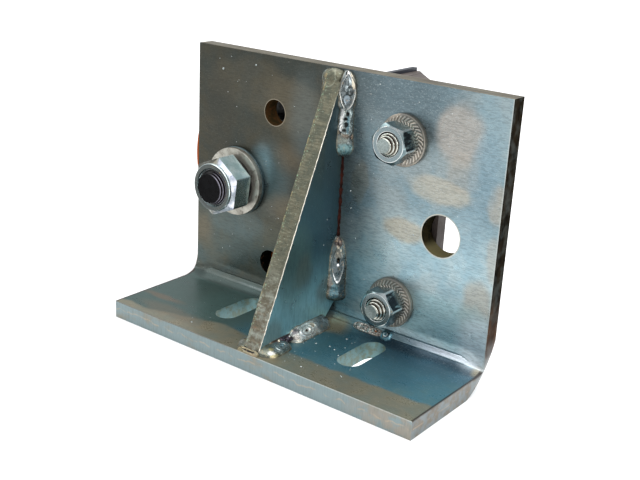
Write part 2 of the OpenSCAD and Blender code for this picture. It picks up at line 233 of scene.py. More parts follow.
class Paint:
    """Writes a material's nodes. Places are millimetres in the row frame, and a colour's three numbers run
    from 0 to 255 as on a screen. x, y and z are the place; right, back and up are the normal's parts."""

    def __init__(self, name):
        self.material = bpy.data.materials.new(name)
        self.material.use_nodes = True
        self.tree = self.material.node_tree
        self.tree.nodes.clear()
        self.shader = self.node("BsdfPrincipled")
        self.tree.links.new(self.shader.outputs[0], self.node("OutputMaterial").inputs[0])
        coord = self.node("TexCoord")
        self.mm = self.vector("SCALE", coord.outputs["Object"], scale=1000)
        self.x, self.y, self.z = self.node("SeparateXYZ", self.mm).outputs
        self.right, self.back, self.up = self.node("SeparateXYZ", coord.outputs["Normal"]).outputs
        self.base = None

    def put(self, socket, value):
        if isinstance(value, bpy.types.NodeSocket):
            self.tree.links.new(value, socket)
        elif value is not None:
            is_screen_colour = socket.type == "RGBA" and len(value) == 3
            socket.default_value = colour(*value) if is_screen_colour else value

    def node(self, kind, *values, **named):
        """A new node, its inputs filled in order or by name."""
        n = self.tree.nodes.new("ShaderNode" + kind)
        for socket, value in zip(n.inputs, values):
            self.put(socket, value)
        for key, value in named.items():
            self.put(n.inputs[key.replace("_", " ")], value)
        return n

    def maths(self, kind, a, b=None):
        n = self.node("Math", a, b)
        n.operation = kind
        return n.outputs[0]

    def plus(self, a, b):
        return self.maths("ADD", a, b)

    def size(self, a):
        return self.maths("ABSOLUTE", a)

    def times(self, *values):
        out = values[0]
        for v in values[1:]:
            out = self.maths("MULTIPLY", out, v)
        return out

    def vector(self, kind, a, b=None, scale=None):
        n = self.node("VectorMath", a, b)
        n.operation = kind
        if scale is not None:
            n.inputs["Scale"].default_value = scale
        return n.outputs["Value"] if kind == "LENGTH" else n.outputs[0]

    def attribute(self, name, output="Fac"):
        """What the mesh keeps under that name."""
        n = self.node("Attribute")
        n.attribute_name = name
        return n.outputs[output]

    def noise(self, size, detail, rough, stretch=(1, 1, 1), distortion=0, shift=(0, 0, 0)):
        """Noise from 0 to 1 whose features are about size millimetres, times stretch along X, Y and Z."""
        at = self.vector("ADD", self.mm, shift) if any(shift) else self.mm
        at = self.vector("DIVIDE", at, tuple(size * s for s in stretch))
        n = self.node("TexNoise", Vector=at, Scale=1, Detail=detail, Roughness=rough, Distortion=distortion)
        return n.outputs["Fac"]

    def cells(self, size):
        """How far the nearest of some scattered points is, in sizes of millimetres."""
        at = self.vector("DIVIDE", self.mm, (size,) * 3)
        return self.node("TexVoronoi", Vector=at, Scale=1).outputs["Distance"]

    def ramp(self, value, a, b, low=0.0, high=1.0):
        """Runs smoothly from low to high as value goes from a to b."""
        n = self.node("MapRange", Value=value, From_Min=a, From_Max=b, To_Min=low, To_Max=high)
        n.interpolation_type = "SMOOTHSTEP"
        return n.outputs[0]

    def mix(self, share, a, b):
        n = self.tree.nodes.new("ShaderNodeMix")
        n.data_type = "RGBA"
        for k, value in ((0, share), (6, a), (7, b)):
            self.put(n.inputs[k], value)
        return n.outputs[2]

    def blend(self, value, a, b, first, second):
        """Runs from the first colour to the second as value goes from a to b."""
        return self.mix(self.ramp(value, a, b), first, second)

    def over(self, tone, *shares):
        """Paints a colour over the base, as much as the shares' product says."""
        self.base = self.mix(self.times(*shares), self.base, tone)

    def stains(self, source, soft, rows):
        """Ellipsoids with a soft border. A row is (centre, radii, colour, share)."""
        for centre, radii, tone, share in rows:
            self.over(tone, self.patch(centre, radii, soft, source), share)

    def warped(self, amount, size):
        """The place in millimetres, pushed about by noise, for uneven outlines."""
        n = self.node("TexNoise", Vector=self.vector("DIVIDE", self.mm, (size,) * 3), Scale=1, Detail=3)
        push = self.vector("SUBTRACT", n.outputs["Color"], (0.5, 0.5, 0.5))
        return self.vector("ADD", self.mm, self.vector("SCALE", push, scale=2 * amount))

    def patch(self, centre, radii, soft, source=None):
        """1 inside an ellipsoid in millimetres and 0 outside, with a soft border."""
        at = self.vector("SUBTRACT", source or self.mm, centre)
        r = self.vector("LENGTH", self.vector("DIVIDE", at, radii))
        return self.ramp(r, 1 + soft / 2, 1 - soft / 2)

    def ring(self, centre, radius, width, plane=(1, 0, 1)):
        """1 on a thin circle round centre, measured in the axes that plane keeps."""
        at = self.vector("MULTIPLY", self.vector("SUBTRACT", self.mm, centre), plane)
        off = self.size(self.maths("SUBTRACT", self.vector("LENGTH", at), radius))
        return self.ramp(off, width, width * 0.3)

    def bump(self, height, distance, strength, onto=None):
        """The normal over a relief whose height is given in millimetres."""
        n = self.node("Bump", Strength=strength, Distance=distance * MM, Height=height, Normal=onto)
        return n.outputs[0]

    def done(self, metal, rough, normal=None, specular=None):
        values = {"Base Color": self.base, "Metallic": metal, "Roughness": rough, "Normal": normal,
                  "Specular IOR Level": specular}
        for key, value in values.items():
            self.put(self.shader.inputs[key], value)
        return self.material


def zinc_skin():
    """Rolled plate under zinc plating: blue to beige clouds, fine rolling lines, stains by the holes, and
    painted reflections, highlights and shade.
    """
    p = Paint("zinc_plate_skin")
    x, y, z, up = p.x, p.y, p.z, p.up
    cloud = p.noise(26, 4, 0.6, distortion=0.4)
    cloud2 = p.noise(11, 4, 0.6, shift=(70, 0, 30), distortion=0.3)

    def two(a, b):
        return p.blend(cloud, 0.38, 0.62, a, b)

    # the upright's tone is painted reflection and shade: dark olive on the left, light blue on the right,
    # lighter towards the bend, darker along the top on the right with a light patch below it
    left = p.blend(z, 70, 38, two((63, 61, 51), (54, 58, 54)), two((84, 87, 78), (74, 86, 84)))
    right = p.blend(z, 96, 60, two((134, 146, 148), (116, 138, 146)), two((166, 184, 188), (148, 176, 186)))
    right = p.mix(p.times(p.ramp(z, 112, 140), p.ramp(x, 88, 50)), right, (94, 110, 116))
    right = p.mix(p.times(p.ramp(z, 105, 125), p.ramp(x, 74, 90), 0.3), right, (154, 176, 182))
    upright = p.blend(p.plus(x, p.times(cloud2, 24)), -8, 50, left, right)
    # the base's top is painted a darker teal, darker still on the left, with a khaki band along its front
    # edge, all as painted reflection
    floor = p.blend(cloud2, 0.35, 0.65, (68, 114, 128), (80, 116, 122))
    floor = p.blend(x, -8, -40, floor, (64, 86, 82))
    band = p.plus(p.plus(y, p.times(cloud, 10)), p.ramp(x, -30, -85, 0, 13))
    floor = p.blend(band, -17, -20, floor, p.blend(cloud2, 0.3, 0.7, (128, 122, 102), (112, 116, 104)))
    p.base = p.blend(up, 0.35, 0.9, upright, floor)
    # beige and blue stains on the upright; the last row is a light teal painted reflection low on the right,
    # above the bend
    at = p.warped(5, 18)
    p.stains(at, 0.5, (
        ((73, 25, 129), (13, 20, 15), (158, 152, 144), 0.75),
        ((77, 25, 110), (9, 20, 10), (160, 152, 140), 0.4),
        ((66, 25, 98), (17, 20, 7), (178, 168, 148), 0.5), ((46, 25, 74), (14, 20, 7), (168, 156, 134), 0.65),
        ((98, 25, 99), (6, 20, 10), (160, 152, 138), 0.6), ((99, 25, 70), (5, 20, 12), (164, 156, 142), 0.5),
        ((91, 25, 40), (9, 20, 17), (164, 152, 134), 0.55), ((17, 25, 92), (5, 20, 12), (128, 120, 98), 0.35),
        ((88, 25, 110), (8, 20, 20), (118, 144, 156), 0.4),
        ((82, 25, 80), (9, 20, 12), (136, 160, 170), 0.35),
        ((-30, 25, 125), (20, 20, 14), (96, 88, 72), 0.45),
        ((-60, 25, 132), (30, 20, 14), (84, 80, 68), 0.35),
        ((-84, 25, 110), (12, 20, 26), (60, 58, 50), 0.5), ((-70, 25, 50), (22, 20, 10), (88, 104, 106), 0.4),
        # a light teal painted reflection low on the right of the upright, above the bend
        ((72, 25, 31), (30, 20, 13), (158, 198, 206), 0.5)))
    # soft clouds round the lock nut
    p.stains(p.warped(1.5, 9), 1.3, (
        ((-45, 25, 82), (13, 20, 17), (84, 102, 106), 0.6), ((-50, 25, 88), (7, 20, 9), (132, 158, 166), 0.6),
        ((-32, 25, 95), (9, 20, 8), (102, 88, 68), 0.38), ((-35, 25, 66), (13, 20, 7), (108, 98, 80), 0.4),
        ((-96, 25, 40), (8, 20, 9), (112, 98, 78), 0.35),
        ((-22, 25, 120), (9, 20, 22), (92, 102, 102), 0.45)))
    # stains on the base
    p.stains(at, 0.8, (
        ((-84, -18, 10), (14, 3, 4), (116, 94, 74), 0.5), ((-66, -30, 10), (22, 6, 6), (104, 96, 80), 0.5),
        ((-50, 0, 10), (16, 26, 8), (70, 100, 98), 0.5), ((70, 0, 10), (24, 16, 8), (52, 100, 120), 0.55),
        ((20, 0, 10), (20, 24, 8), (48, 96, 108), 0.5), ((12, 17, 12), (9, 7, 7), (160, 146, 112), 0.75),
        ((4, -36, 10), (16, 5, 6), (136, 124, 98), 0.7)))
    # the bend: towards the right end a bright band along the pressed line is a painted highlight, with
    # painted shade below it fading through a dark blue painted shade, and a golden spot at the corner
    pressed = p.times(p.ramp(up, 0.38, 0.46), p.ramp(up, 0.74, 0.68), p.ramp(x, 36, 78), p.ramp(z, 24, 20))
    p.over(p.blend(x, 66, 94, (154, 160, 172), (226, 232, 240)), pressed, 0.75)
    dim = p.times(p.ramp(up, 0.74, 0.8), p.ramp(p.plus(y, p.times(cloud2, 4)), 15, 20.5))
    p.over((32, 35, 36), dim, p.ramp(x, 14, 55, 0.0, 0.9))
    # a dark blue painted shade on the base, strongest by the bend and fading towards the front
    blue = p.ramp(p.plus(y, p.times(cloud2, 8)), 2, 18)
    p.over((38, 66, 84), blue, p.ramp(up, 0.74, 0.8), p.ramp(x, 5, 50), 0.6)
    # on the left the bend is painted dark as shade, and the pressed line is only a narrow painted highlight
    left_end = p.ramp(x, -8, -14)
    p.over((52, 58, 56), p.ramp(up, 0.25, 0.5), p.ramp(up, 0.99, 0.94), left_end, 0.5)
    left_bend_highlight = p.times(p.ramp(up, 0.62, 0.66), p.ramp(up, 0.73, 0.69), left_end, p.ramp(x, -98, -60))
    p.over((168, 176, 176), left_bend_highlight, p.ramp(x, -70, -14, 0.1, 0.5))
    # a white painted highlight on the upright just above the bend at the right end
    p.over((214, 226, 232), p.patch((97, 25, 25), (13, 20, 12), 0.9), 0.8)
    p.over((208, 180, 120), p.patch((98.5, 19, 13), (3.4, 4, 2.4), 0.9), 0.7)
    # rolling lines run across the plate, with finer grain between them
    lines = p.noise(0.6, 2, 0.7, stretch=(6, 1, 1))
    grain = p.noise(0.6, 2, 0.8, stretch=(1.8, 1, 1))
    deep = p.times(p.ramp(x, -20, 30, 0.22, 0.26), p.ramp(up, 0.5, 0.9, 1, 0.5))
    p.over(p.blend(x, -20, 30, (34, 36, 34), (48, 56, 58)), p.ramp(lines, 0.44, 0.62), deep)
    p.over(p.blend(x, -20, 30, (98, 100, 92), (190, 202, 206)), p.ramp(grain, 0.54, 0.7), deep)
    # light rings round two holes, specks, and the edges of the right end and of the base
    worn = p.plus(p.ring((68, 25, 75), 11.3, 0.4), p.times(p.ring((-42.5, 25, 119), 7.4, 0.35), 0.5))
    p.over((200, 188, 166), worn, 0.55)
    p.over((220, 226, 226), p.ramp(p.cells(6.5), 0.05, 0.03), p.ramp(up, 0.5, 0.9, 0.5, 0.2))
    p.over((186, 192, 188), p.ramp(x, 99.4, 99.6), p.ramp(p.back, -0.4, -0.6), 0.5)
    p.over((50, 40, 34), p.ramp(p.size(x), 98.9, 99.3), p.ramp(up, 0.4, 0.6), p.ramp(z, 12.5, 11), 0.85)
    rough = p.plus(p.ramp(cloud2, 0.2, 0.8, 0.26, 0.38), p.ramp(grain, 0.3, 0.7, -0.03, 0.05))
    return p.done(p.ramp(up, 0.2, 0.8, 0.86, 0.55), rough, p.bump(grain, 0.03, 0.6, p.bump(lines, 0.03, 0.6)))


def zinc_cut():
    """The plate's cut edges: fine striations across the thickness, beige and brown stains."""
    p = Paint("zinc_plate_cut_edges")
    x, z = p.x, p.z
    cloud = p.noise(9, 4, 0.6, stretch=(2, 1, 1))
    front = p.blend(cloud, 0.48, 0.7, (128, 143, 145), (139, 134, 121))
    beige = p.times(p.ramp(x, 50, 88), p.ramp(p.noise(6, 3, 0.6, shift=(4, 0, 2)), 0.36, 0.56))
    front = p.mix(beige, front, (145, 141, 132))
    # the right end goes from grey at the foot to brown and then black; the blackening upwards is a painted
    # dark reflection
    tall = p.noise(6, 4, 0.65, stretch=(1, 1, 2))
    high = p.plus(z, p.times(cloud, 12))
    end = p.blend(p.noise(5, 4, 0.65, shift=(2, 5, 0)), 0.4, 0.64, (130, 138, 140), (125, 117, 106))
    end = p.blend(high, 14, 26, end, p.blend(tall, 0.4, 0.62, (74, 56, 44), (52, 42, 36)))
    end = p.blend(high, 36, 60, end, p.blend(tall, 0.4, 0.62, (32, 27, 20), (17, 15, 12)))
    end = p.mix(p.times(p.ramp(z, 9.2, 9.7), p.ramp(z, 12, 10.4), 0.7), end, (60, 48, 40))
    top = p.blend(cloud, 0.4, 0.62, (122, 114, 92), (100, 92, 74))
    top = p.mix(p.ramp(p.noise(1.1, 2, 0.6, stretch=(40, 1, 1)), 0.46, 0.58, 0, 0.7), top, (58, 52, 44))
    at_end = p.ramp(p.size(p.right), 0.4, 0.8)
    p.base = p.blend(p.up, 0.4, 0.8, p.mix(at_end, front, end), top)
    # the front edge's upper lip and a wavy light line below it
    lip = p.times(p.ramp(z, 9.45, 9.65), p.ramp(z, 12, 10.5), p.ramp(p.back, -0.3, -0.6))
    p.over(p.blend(x, 10, -30, (204, 208, 202), (96, 76, 58)), lip, 0.5)
    middle = p.ramp(p.noise(7, 2, 0.5, stretch=(1, 9, 9)), 0.3, 0.7, 4.6, 6.4)
    wavy = p.ramp(p.size(p.maths("SUBTRACT", z, middle)), 0.6, 0.2)
    p.over((182, 164, 140), wavy, p.ramp(p.noise(8, 2, 0.6, shift=(1, 2, 3)), 0.42, 0.56), 0.45)
    lines = p.noise(0.55, 2, 0.7, stretch=(1, 12, 12))
    p.over((90, 96, 94), p.ramp(lines, 0.4, 0.7, 0, 0.25))
    side = p.times(at_end, p.ramp(z, 12, 30))
    rough = p.ramp(cloud, 0.3, 0.7, 0.34, 0.48)
    return p.done(p.ramp(side, 0, 1, 0.85, 0), rough, p.bump(lines, 0.06, 0.7), p.ramp(side, 0, 1, 0.25, 0))


def bore_wall():
    """Drilled walls of the holes and slots: pale in the base, near black and brown in the upright."""
    p = Paint("hole_walls")
    cloud = p.noise(4, 4, 0.65)
    upright = p.blend(cloud, 0.42, 0.6, (18, 18, 12), (34, 30, 18))
    # walls that face up are painted lighter, as painted light from above
    upright = p.blend(p.up, 0.45, 0.85, upright, (86, 80, 56))
    # in the left holes the upper walls are painted brown as a painted reflection of the orange tyre, and the
    # lower ones near black
    brown = p.blend(p.z, 70, 50, p.blend(cloud, 0.42, 0.6, (66, 46, 26), (46, 38, 22)), (16, 15, 12))
    upright = p.blend(p.x, 40, 0, upright, brown)
    p.base = p.blend(p.z, 12, 20, p.blend(cloud, 0.42, 0.6, (112, 142, 144), (106, 120, 110)), upright)
    rust = p.ramp(p.noise(3, 3, 0.6, shift=(9, 9, 0)), 0.6, 0.7)
    p.over((98, 62, 36), rust, p.ramp(p.x, 40, 0, 0.1, 0.45))
    bump = p.bump(p.noise(0.4, 2, 0.6, stretch=(1, 1, 8)), 0.05, 0.6)
    return p.done(p.ramp(p.z, 12, 20, 0.45, 0), 0.46, bump, p.ramp(p.z, 12, 20, 0.2, 0))


def gusset_side():
    """The gusset's flat sides: a dark teal painted reflection of the base and upright, painted lighter
    towards the foot and greyer towards the top, with a few clouds.
    """
    p = Paint("zinc_gusset_sides")
    cloud = p.noise(24, 4, 0.6, distortion=0.4)
    p.base = p.blend(cloud, 0.36, 0.64, (41, 70, 80), (50, 79, 87))
    # painted light towards the foot, and a greyer top
    p.over((136, 186, 196), p.ramp(p.z, 60, 24))
    p.over((66, 80, 78), p.ramp(p.z, 70, 120))
    p.stains(p.warped(5, 18), 0.8, (
        ((5, -12, 52), (20, 14, 22), (78, 104, 96), 0.5), ((5, -4, 46), (20, 7, 10), (98, 94, 74), 0.3),
        ((5, 16, 30), (20, 8, 8), (112, 98, 78), 0.45), ((5, 16, 100), (20, 6, 40), (54, 80, 92), 0.5),
        ((5, -30, 18), (20, 10, 8), (116, 104, 78), 0.4)))
    lines = p.noise(0.9, 3, 0.7, stretch=(1, 1, 6))
    grain = p.noise(0.7, 2, 0.8)
    p.over((44, 60, 66), p.ramp(lines, 0.42, 0.64, 0, 0.25))
    p.over((150, 172, 176), p.ramp(grain, 0.6, 0.78, 0, 0.25))
    bump = p.bump(grain, 0.03, 0.5, p.bump(lines, 0.03, 0.5))
    return p.done(0.7, p.ramp(cloud, 0.3, 0.7, 0.26, 0.36), bump)


def gusset_cut():
    """The gusset's sawn edge: khaki, with teal glints and rust towards the foot."""
    p = Paint("zinc_gusset_sawn_edge")
    x, z = p.x, p.z
    cloud = p.noise(5, 4, 0.65)
    p.base = p.blend(cloud, 0.4, 0.6, (104, 102, 86), (88, 90, 78))
    p.over(p.blend(cloud, 0.4, 0.6, (140, 144, 134), (104, 98, 84)), p.ramp(z, 62, 24))
    p.over((168, 180, 160), p.ramp(p.noise(1.0, 2, 0.7), 0.62, 0.72), 0.5)
    p.over((62, 58, 48), p.ramp(p.noise(1.6, 3, 0.7, stretch=(2.2, 1, 1), shift=(3, 0, 9)), 0.58, 0.7), 0.5)
    p.over((112, 78, 52), p.ramp(p.noise(3, 3, 0.6, shift=(30, 5, 0)), 0.56, 0.68), p.ramp(z, 50, 15), 0.5)
    # gold and green flecks along the left arris, a light rim along the right one
    p.over((186, 166, 118), p.ramp(x, -3.6, -4.7), p.ramp(p.noise(4, 2, 0.6), 0.5, 0.62), 0.4)
    fleck = p.ramp(p.noise(0.8, 2, 0.7, shift=(4, 4, 4)), 0.6, 0.68)
    p.over((170, 214, 176), p.ramp(x, -1.8, -3.6), fleck, 0.7)
    p.over((232, 226, 212), p.ramp(x, 4.62, 4.85), p.ramp(z, 140, 118), 0.9)
    p.over((178, 180, 160), p.ring((-2.2, 18, 145), 1, 0.14, (1 / 3.4, 0, 1 / 4.2)), 0.22)
    grain = p.noise(0.5, 3, 0.8, stretch=(2.5, 1, 1))
    return p.done(0.85, p.ramp(cloud, 0.3, 0.7, 0.38, 0.52), p.bump(grain, 0.12, 0.8))


def weld_metal():
    """Plated weld metal. Its main tints are painted on each bead as the attribute bead_tint."""
    p = Paint("weld_bead_metal")
    p.base = p.attribute("bead_tint", "Color")
    grain = p.noise(0.8, 3, 0.7)
    p.over((80, 84, 84), p.ramp(grain, 0.4, 0.62, 0, 0.35))
    p.over((172, 148, 112), p.ramp(p.noise(2.2, 3, 0.6, shift=(5, 5, 5)), 0.56, 0.68, 0, 0.35))
    return p.done(0.8, p.ramp(p.noise(2.5, 3, 0.6), 0.3, 0.7, 0.22, 0.36), p.bump(grain, 0.06, 0.5))


def bright_zinc(name, flats, dim, faces, up_share, side_shade_share):
    """Clear zinc on nuts: tinted flats, a duller turned face in front, thin light edges as painted
    highlights, painted shade on the faces that look down and on those that look right, and a painted
    highlight on the slope in front.
    """
    p = Paint(name)
    cloud = p.noise(5, 4, 0.6)
    fine = p.noise(0.5, 3, 0.7)
    p.base = p.blend(cloud, 0.36, 0.64, *flats)
    # faces that look down are painted darker, as painted shade
    p.over(dim, p.ramp(p.up, 0.05, -0.5, 0, 0.8))
    # faces that look right are painted dark in stripes, as painted shade with stripes of reflection
    side = p.times(p.ramp(p.right, 0.4, 0.6), p.ramp(p.up, 0.75, 0.6), p.ramp(p.up, -0.4, -0.2))
    stripes = p.ramp(p.noise(1.3, 2, 0.6, stretch=(1, 5, 1)), 0.34, 0.5)
    p.over((30, 34, 42), side, stripes, p.ramp(p.y, 19.5, 15.5, 0.3, 1), side_shade_share)
    # a painted highlight on the slope in front, white on its right
    cone = p.times(p.ramp(p.back, -0.3, -0.5), p.ramp(p.up, 0.2, 0.5))
    p.over(p.blend(p.right, -0.05, 0.25, (120, 134, 136), (228, 232, 234)), cone, 0.6)
    p.over(p.blend(p.noise(0.35, 2, 0.6), 0.4, 0.6, *faces), p.ramp(p.back, -0.93, -0.99))
    p.over((150, 124, 90), p.ramp(p.noise(2.2, 3, 0.6, shift=(11, 3, 7)), 0.62, 0.7), 0.5)
    p.over(dim, p.ramp(fine, 0.5, 0.7, 0, 0.25))
    # thin painted highlights where the relief attribute is high: edges and corners that nut() marks, and
    # thread crests
    p.over((236, 238, 236), p.ramp(p.attribute("relief"), 0.35, 0.8), 0.85)
    metal = p.ramp(p.up, 0.3, 0.8, 0.92, up_share)
    return p.done(metal, p.ramp(cloud, 0.3, 0.7, 0.14, 0.26), p.bump(fine, 0.015, 0.6))


def bright_cone():
    """The lock nut's front slope: a white painted highlight towards the right, brownish at the upper left."""
    p = Paint("bright_zinc_cone")
    cloud = p.noise(3, 3, 0.6)
    right = p.ramp(p.right, 0.0, 0.3)
    p.base = p.blend(cloud, 0.4, 0.6, (100, 98, 88), (116, 118, 110))
    # the right of the slope is painted white as a highlight
    p.over(p.blend(cloud, 0.35, 0.6, (238, 240, 244), (186, 194, 208)), right)
    bump = p.bump(p.noise(0.6, 3, 0.7), 0.01, 0.7)
    return p.done(p.ramp(right, 0, 1, 0.8, 0.4), p.ramp(cloud, 0.3, 0.7, 0.16, 0.28), bump)


def black_oxide():
    """Oiled black oxide: glossy on the thread, with painted highlights on its crests towards the right, near
    black on the end.
    """
    p = Paint("black_oxide_bolt")
    cloud = p.noise(4, 4, 0.6)
    fine = p.noise(0.5, 3, 0.7)
    p.base = p.blend(cloud, 0.4, 0.6, (10, 10, 12), (4, 4, 5))
    front = p.ramp(p.back, -0.8, -0.95)
    crest, rightwards = p.ramp(p.attribute("relief"), 0.7, 0.98), p.ramp(p.x, AXLE_X / MM, AXLE_X / MM + 7)
    # painted highlights on the thread crests towards the right
    p.over((150, 146, 160), crest, rightwards, p.maths("SUBTRACT", 1, front), 0.8)
    p.over((22, 21, 24), p.ramp(fine, 0.6, 0.7, 0, 0.25))
    rough = p.ramp(cloud, 0.3, 0.7, 0.14, 0.24)
    return p.done(0.0, rough, p.bump(fine, 0.02, 0.6), p.ramp(front, 0, 1, 0.25, 0.04))


def threaded_zinc():
    """Stud ends: a dull cut end, thread crests painted bright as highlights and grooves painted dark as
    shade, by the relief stored on the mesh.
    """
    p = Paint("zinc_stud_ends")
    fine = p.noise(0.45, 3, 0.7)
    # crests painted light as highlights, grooves painted dark as shade
    crest = p.blend(p.noise(3, 4, 0.6), 0.4, 0.6, (206, 206, 196), (160, 166, 160))
    p.base = p.blend(p.attribute("relief"), 0.45, 0.95, (62, 56, 46), crest)
    front = p.ramp(p.back, -0.93, -0.985)
    p.over(p.blend(fine, 0.4, 0.62, (146, 156, 154), (116, 126, 124)), front)
    return p.done(0.88, p.ramp(front, 0, 1, 0.16, 0.4), p.bump(fine, 0.03, 0.6))


def knurled_steel():
    """The coned washers: light rib tops over brown grooves, painted by the relief stored on the mesh."""
    p = Paint("knurled_washer_steel")
    cloud = p.noise(4, 4, 0.6)
    fine = p.noise(0.45, 3, 0.7)
    low = p.blend(cloud, 0.4, 0.62, (132, 125, 114), (112, 110, 104))
    high = p.blend(cloud, 0.4, 0.62, (180, 173, 162), (158, 156, 150))
    p.base = p.blend(p.attribute("relief"), 0.25, 0.85, low, high)
    p.over((110, 104, 96), p.ramp(fine, 0.5, 0.7, 0, 0.3))
    return p.done(0.85, p.ramp(cloud, 0.3, 0.7, 0.3, 0.42), p.bump(fine, 0.02, 0.7))


def plain_metal(name, light, dark, rough, metal=1.0, size=5, grain=0.5, depth=0.02, stretch=(1, 1, 1),
                spots=None, specular=None, painted_shade=None):
    """Metal with two mixed tones, fine grain and worn spots. painted_shade is (part of the normal, a, b,
    share) and paints shade on the faces where that part goes from a to b."""
    p = Paint(name)
    cloud = p.noise(size, 4, 0.6)
    fine = p.noise(grain, 3, 0.7, stretch=stretch)
    p.base = p.blend(cloud, 0.36, 0.64, light, dark)
    p.over(dark, p.ramp(fine, 0.45, 0.7, 0, 0.3))
    if spots:
        p.over(spots, p.ramp(p.noise(size * 0.35, 3, 0.6, shift=(11, 3, 7)), 0.6, 0.7, 0, 0.7))
    # painted shade on the faces that look one way
    if painted_shade:
        part, a, b, share = painted_shade
        p.over((28, 25, 23), p.ramp(getattr(p, part), a, b), share)
    return p.done(metal, p.ramp(cloud, 0.3, 0.7, *rough), p.bump(fine, depth, 0.7), specular)


def tyre_rubber():
    """Cast polyurethane: satin orange-brown with dust in its tread and faint flow marks."""
    p = Paint("tyre_polyurethane_cast")
    cloud = p.noise(30, 4, 0.6)
    flow = p.noise(7, 3, 0.6, stretch=(1, 4, 1), distortion=1.0)
    p.base = p.blend(cloud, 0.35, 0.65, (158, 74, 10), (140, 64, 8))
    p.over((162, 80, 30), p.ramp(flow, 0.5, 0.7, 0, 0.35))
    p.over((120, 92, 70), p.ramp(p.noise(2.2, 4, 0.75), 0.56, 0.72), 0.35)
    bump = p.bump(p.noise(0.35, 3, 0.7), 0.03, 0.6, p.bump(flow, 0.08, 0.4))
    return p.done(0.0, p.ramp(cloud, 0.3, 0.7, 0.55, 0.7), bump, 0.03)


def black_plastic(name, tone, edge):
    """Dark polyethylene or rubber with scuffs."""
    p = Paint(name)
    cloud = p.noise(9, 4, 0.6)
    p.base = p.blend(cloud, 0.4, 0.65, tone, edge)
    p.over((84, 88, 96), p.ramp(p.noise(1.4, 3, 0.7, stretch=(1, 1, 9)), 0.6, 0.72), 0.3)
    return p.done(0.0, p.ramp(cloud, 0.3, 0.7, 0.34, 0.52), p.bump(p.noise(0.4, 3, 0.7), 0.03, 0.6))


M_SKIN = zinc_skin()
M_CUT = zinc_cut()
M_BORE = bore_wall()
M_GUSSET = gusset_side()
M_SAWN = gusset_cut()
M_WELD = weld_metal()
M_BRIGHT = bright_zinc(
    "bright_zinc_lock_nut", ((210, 230, 230), (172, 200, 202)), (70, 92, 94),
    ((84, 88, 86), (62, 66, 65)), 0.6, 0.0)
M_SMALL = bright_zinc(
    "bright_zinc_small_nuts", ((150, 170, 172), (112, 134, 138)), (60, 76, 82),
    ((128, 140, 143), (103, 117, 120)), 0.9, 0.95)
M_CONE = bright_cone()
M_BLACK = black_oxide()
M_WASHER = plain_metal("dull_zinc_washer", (178, 176, 166), (146, 142, 132), (0.36, 0.5), 0.8, 7, 0.45, 0.03,
                       spots=(84, 78, 70))
M_THIN_WASHER = plain_metal("thin_washer_zinc", (112, 130, 134), (86, 98, 100), (0.3, 0.42), 0.85, 6, 0.45,
                            0.03)
M_KNURLED = knurled_steel()
M_STUD = threaded_zinc()
M_SPATTER = plain_metal("spatter_drops", (190, 198, 196), (140, 148, 148), (0.2, 0.35), size=3)
# a near-black painted shadow for the foot of the lock nut
M_FOOT_SHADOW = plain_metal("painted_shadow_under_nut", (24, 22, 18), (12, 11, 10), (0.4, 0.6), 0.2, 2)
M_NYLON = black_plastic("lock_ring_nylon", (36, 40, 46), (48, 52, 58))
M_TURNED = plain_metal("turned_steel_spacers", (176, 178, 176), (140, 142, 140), (0.22, 0.34), 1.0, 6, 0.4,
                       stretch=(12, 1, 12))
# the wheel core's faces that look towards the plate get painted shade
M_CORE = plain_metal("wheel_core_iron", (124, 128, 126), (92, 96, 96), (0.4, 0.58), 0.8, 8, 0.9, 0.12,
                     spots=(110, 96, 78), painted_shade=("back", -0.1, -0.6, 0.85))
M_BEARING = plain_metal("ground_bearing_steel", (196, 198, 198), (168, 170, 172), (0.12, 0.22), 1.0, 9, 0.3,
                        0.006)
M_CAGE = plain_metal("pressed_cage_brass", (190, 180, 150), (150, 142, 118), (0.28, 0.4))
M_SEAL = black_plastic("seal_nitrile", (24, 24, 25), (34, 34, 36))
M_TYRE = tyre_rubber()
# the shoe's faces that look right get painted shade
M_SHOE = plain_metal("shoe_brown_steel", (108, 98, 92), (84, 76, 72), (0.36, 0.52), 0.8, 14, 0.8, 0.05,
                     stretch=(1, 1, 6), spots=(76, 62, 52), painted_shade=("right", 0.5, 0.9, 0.6))
M_STRIP = black_plastic("wear_strip_polyethylene", (26, 30, 40), (36, 40, 52))
M_RUST = plain_metal("seam_rust", (54, 22, 15), (28, 14, 11), (0.6, 0.8), 0.0, 3, depth=0.08, specular=0.05)


# ---------------------------------------------------------------- the bent plate


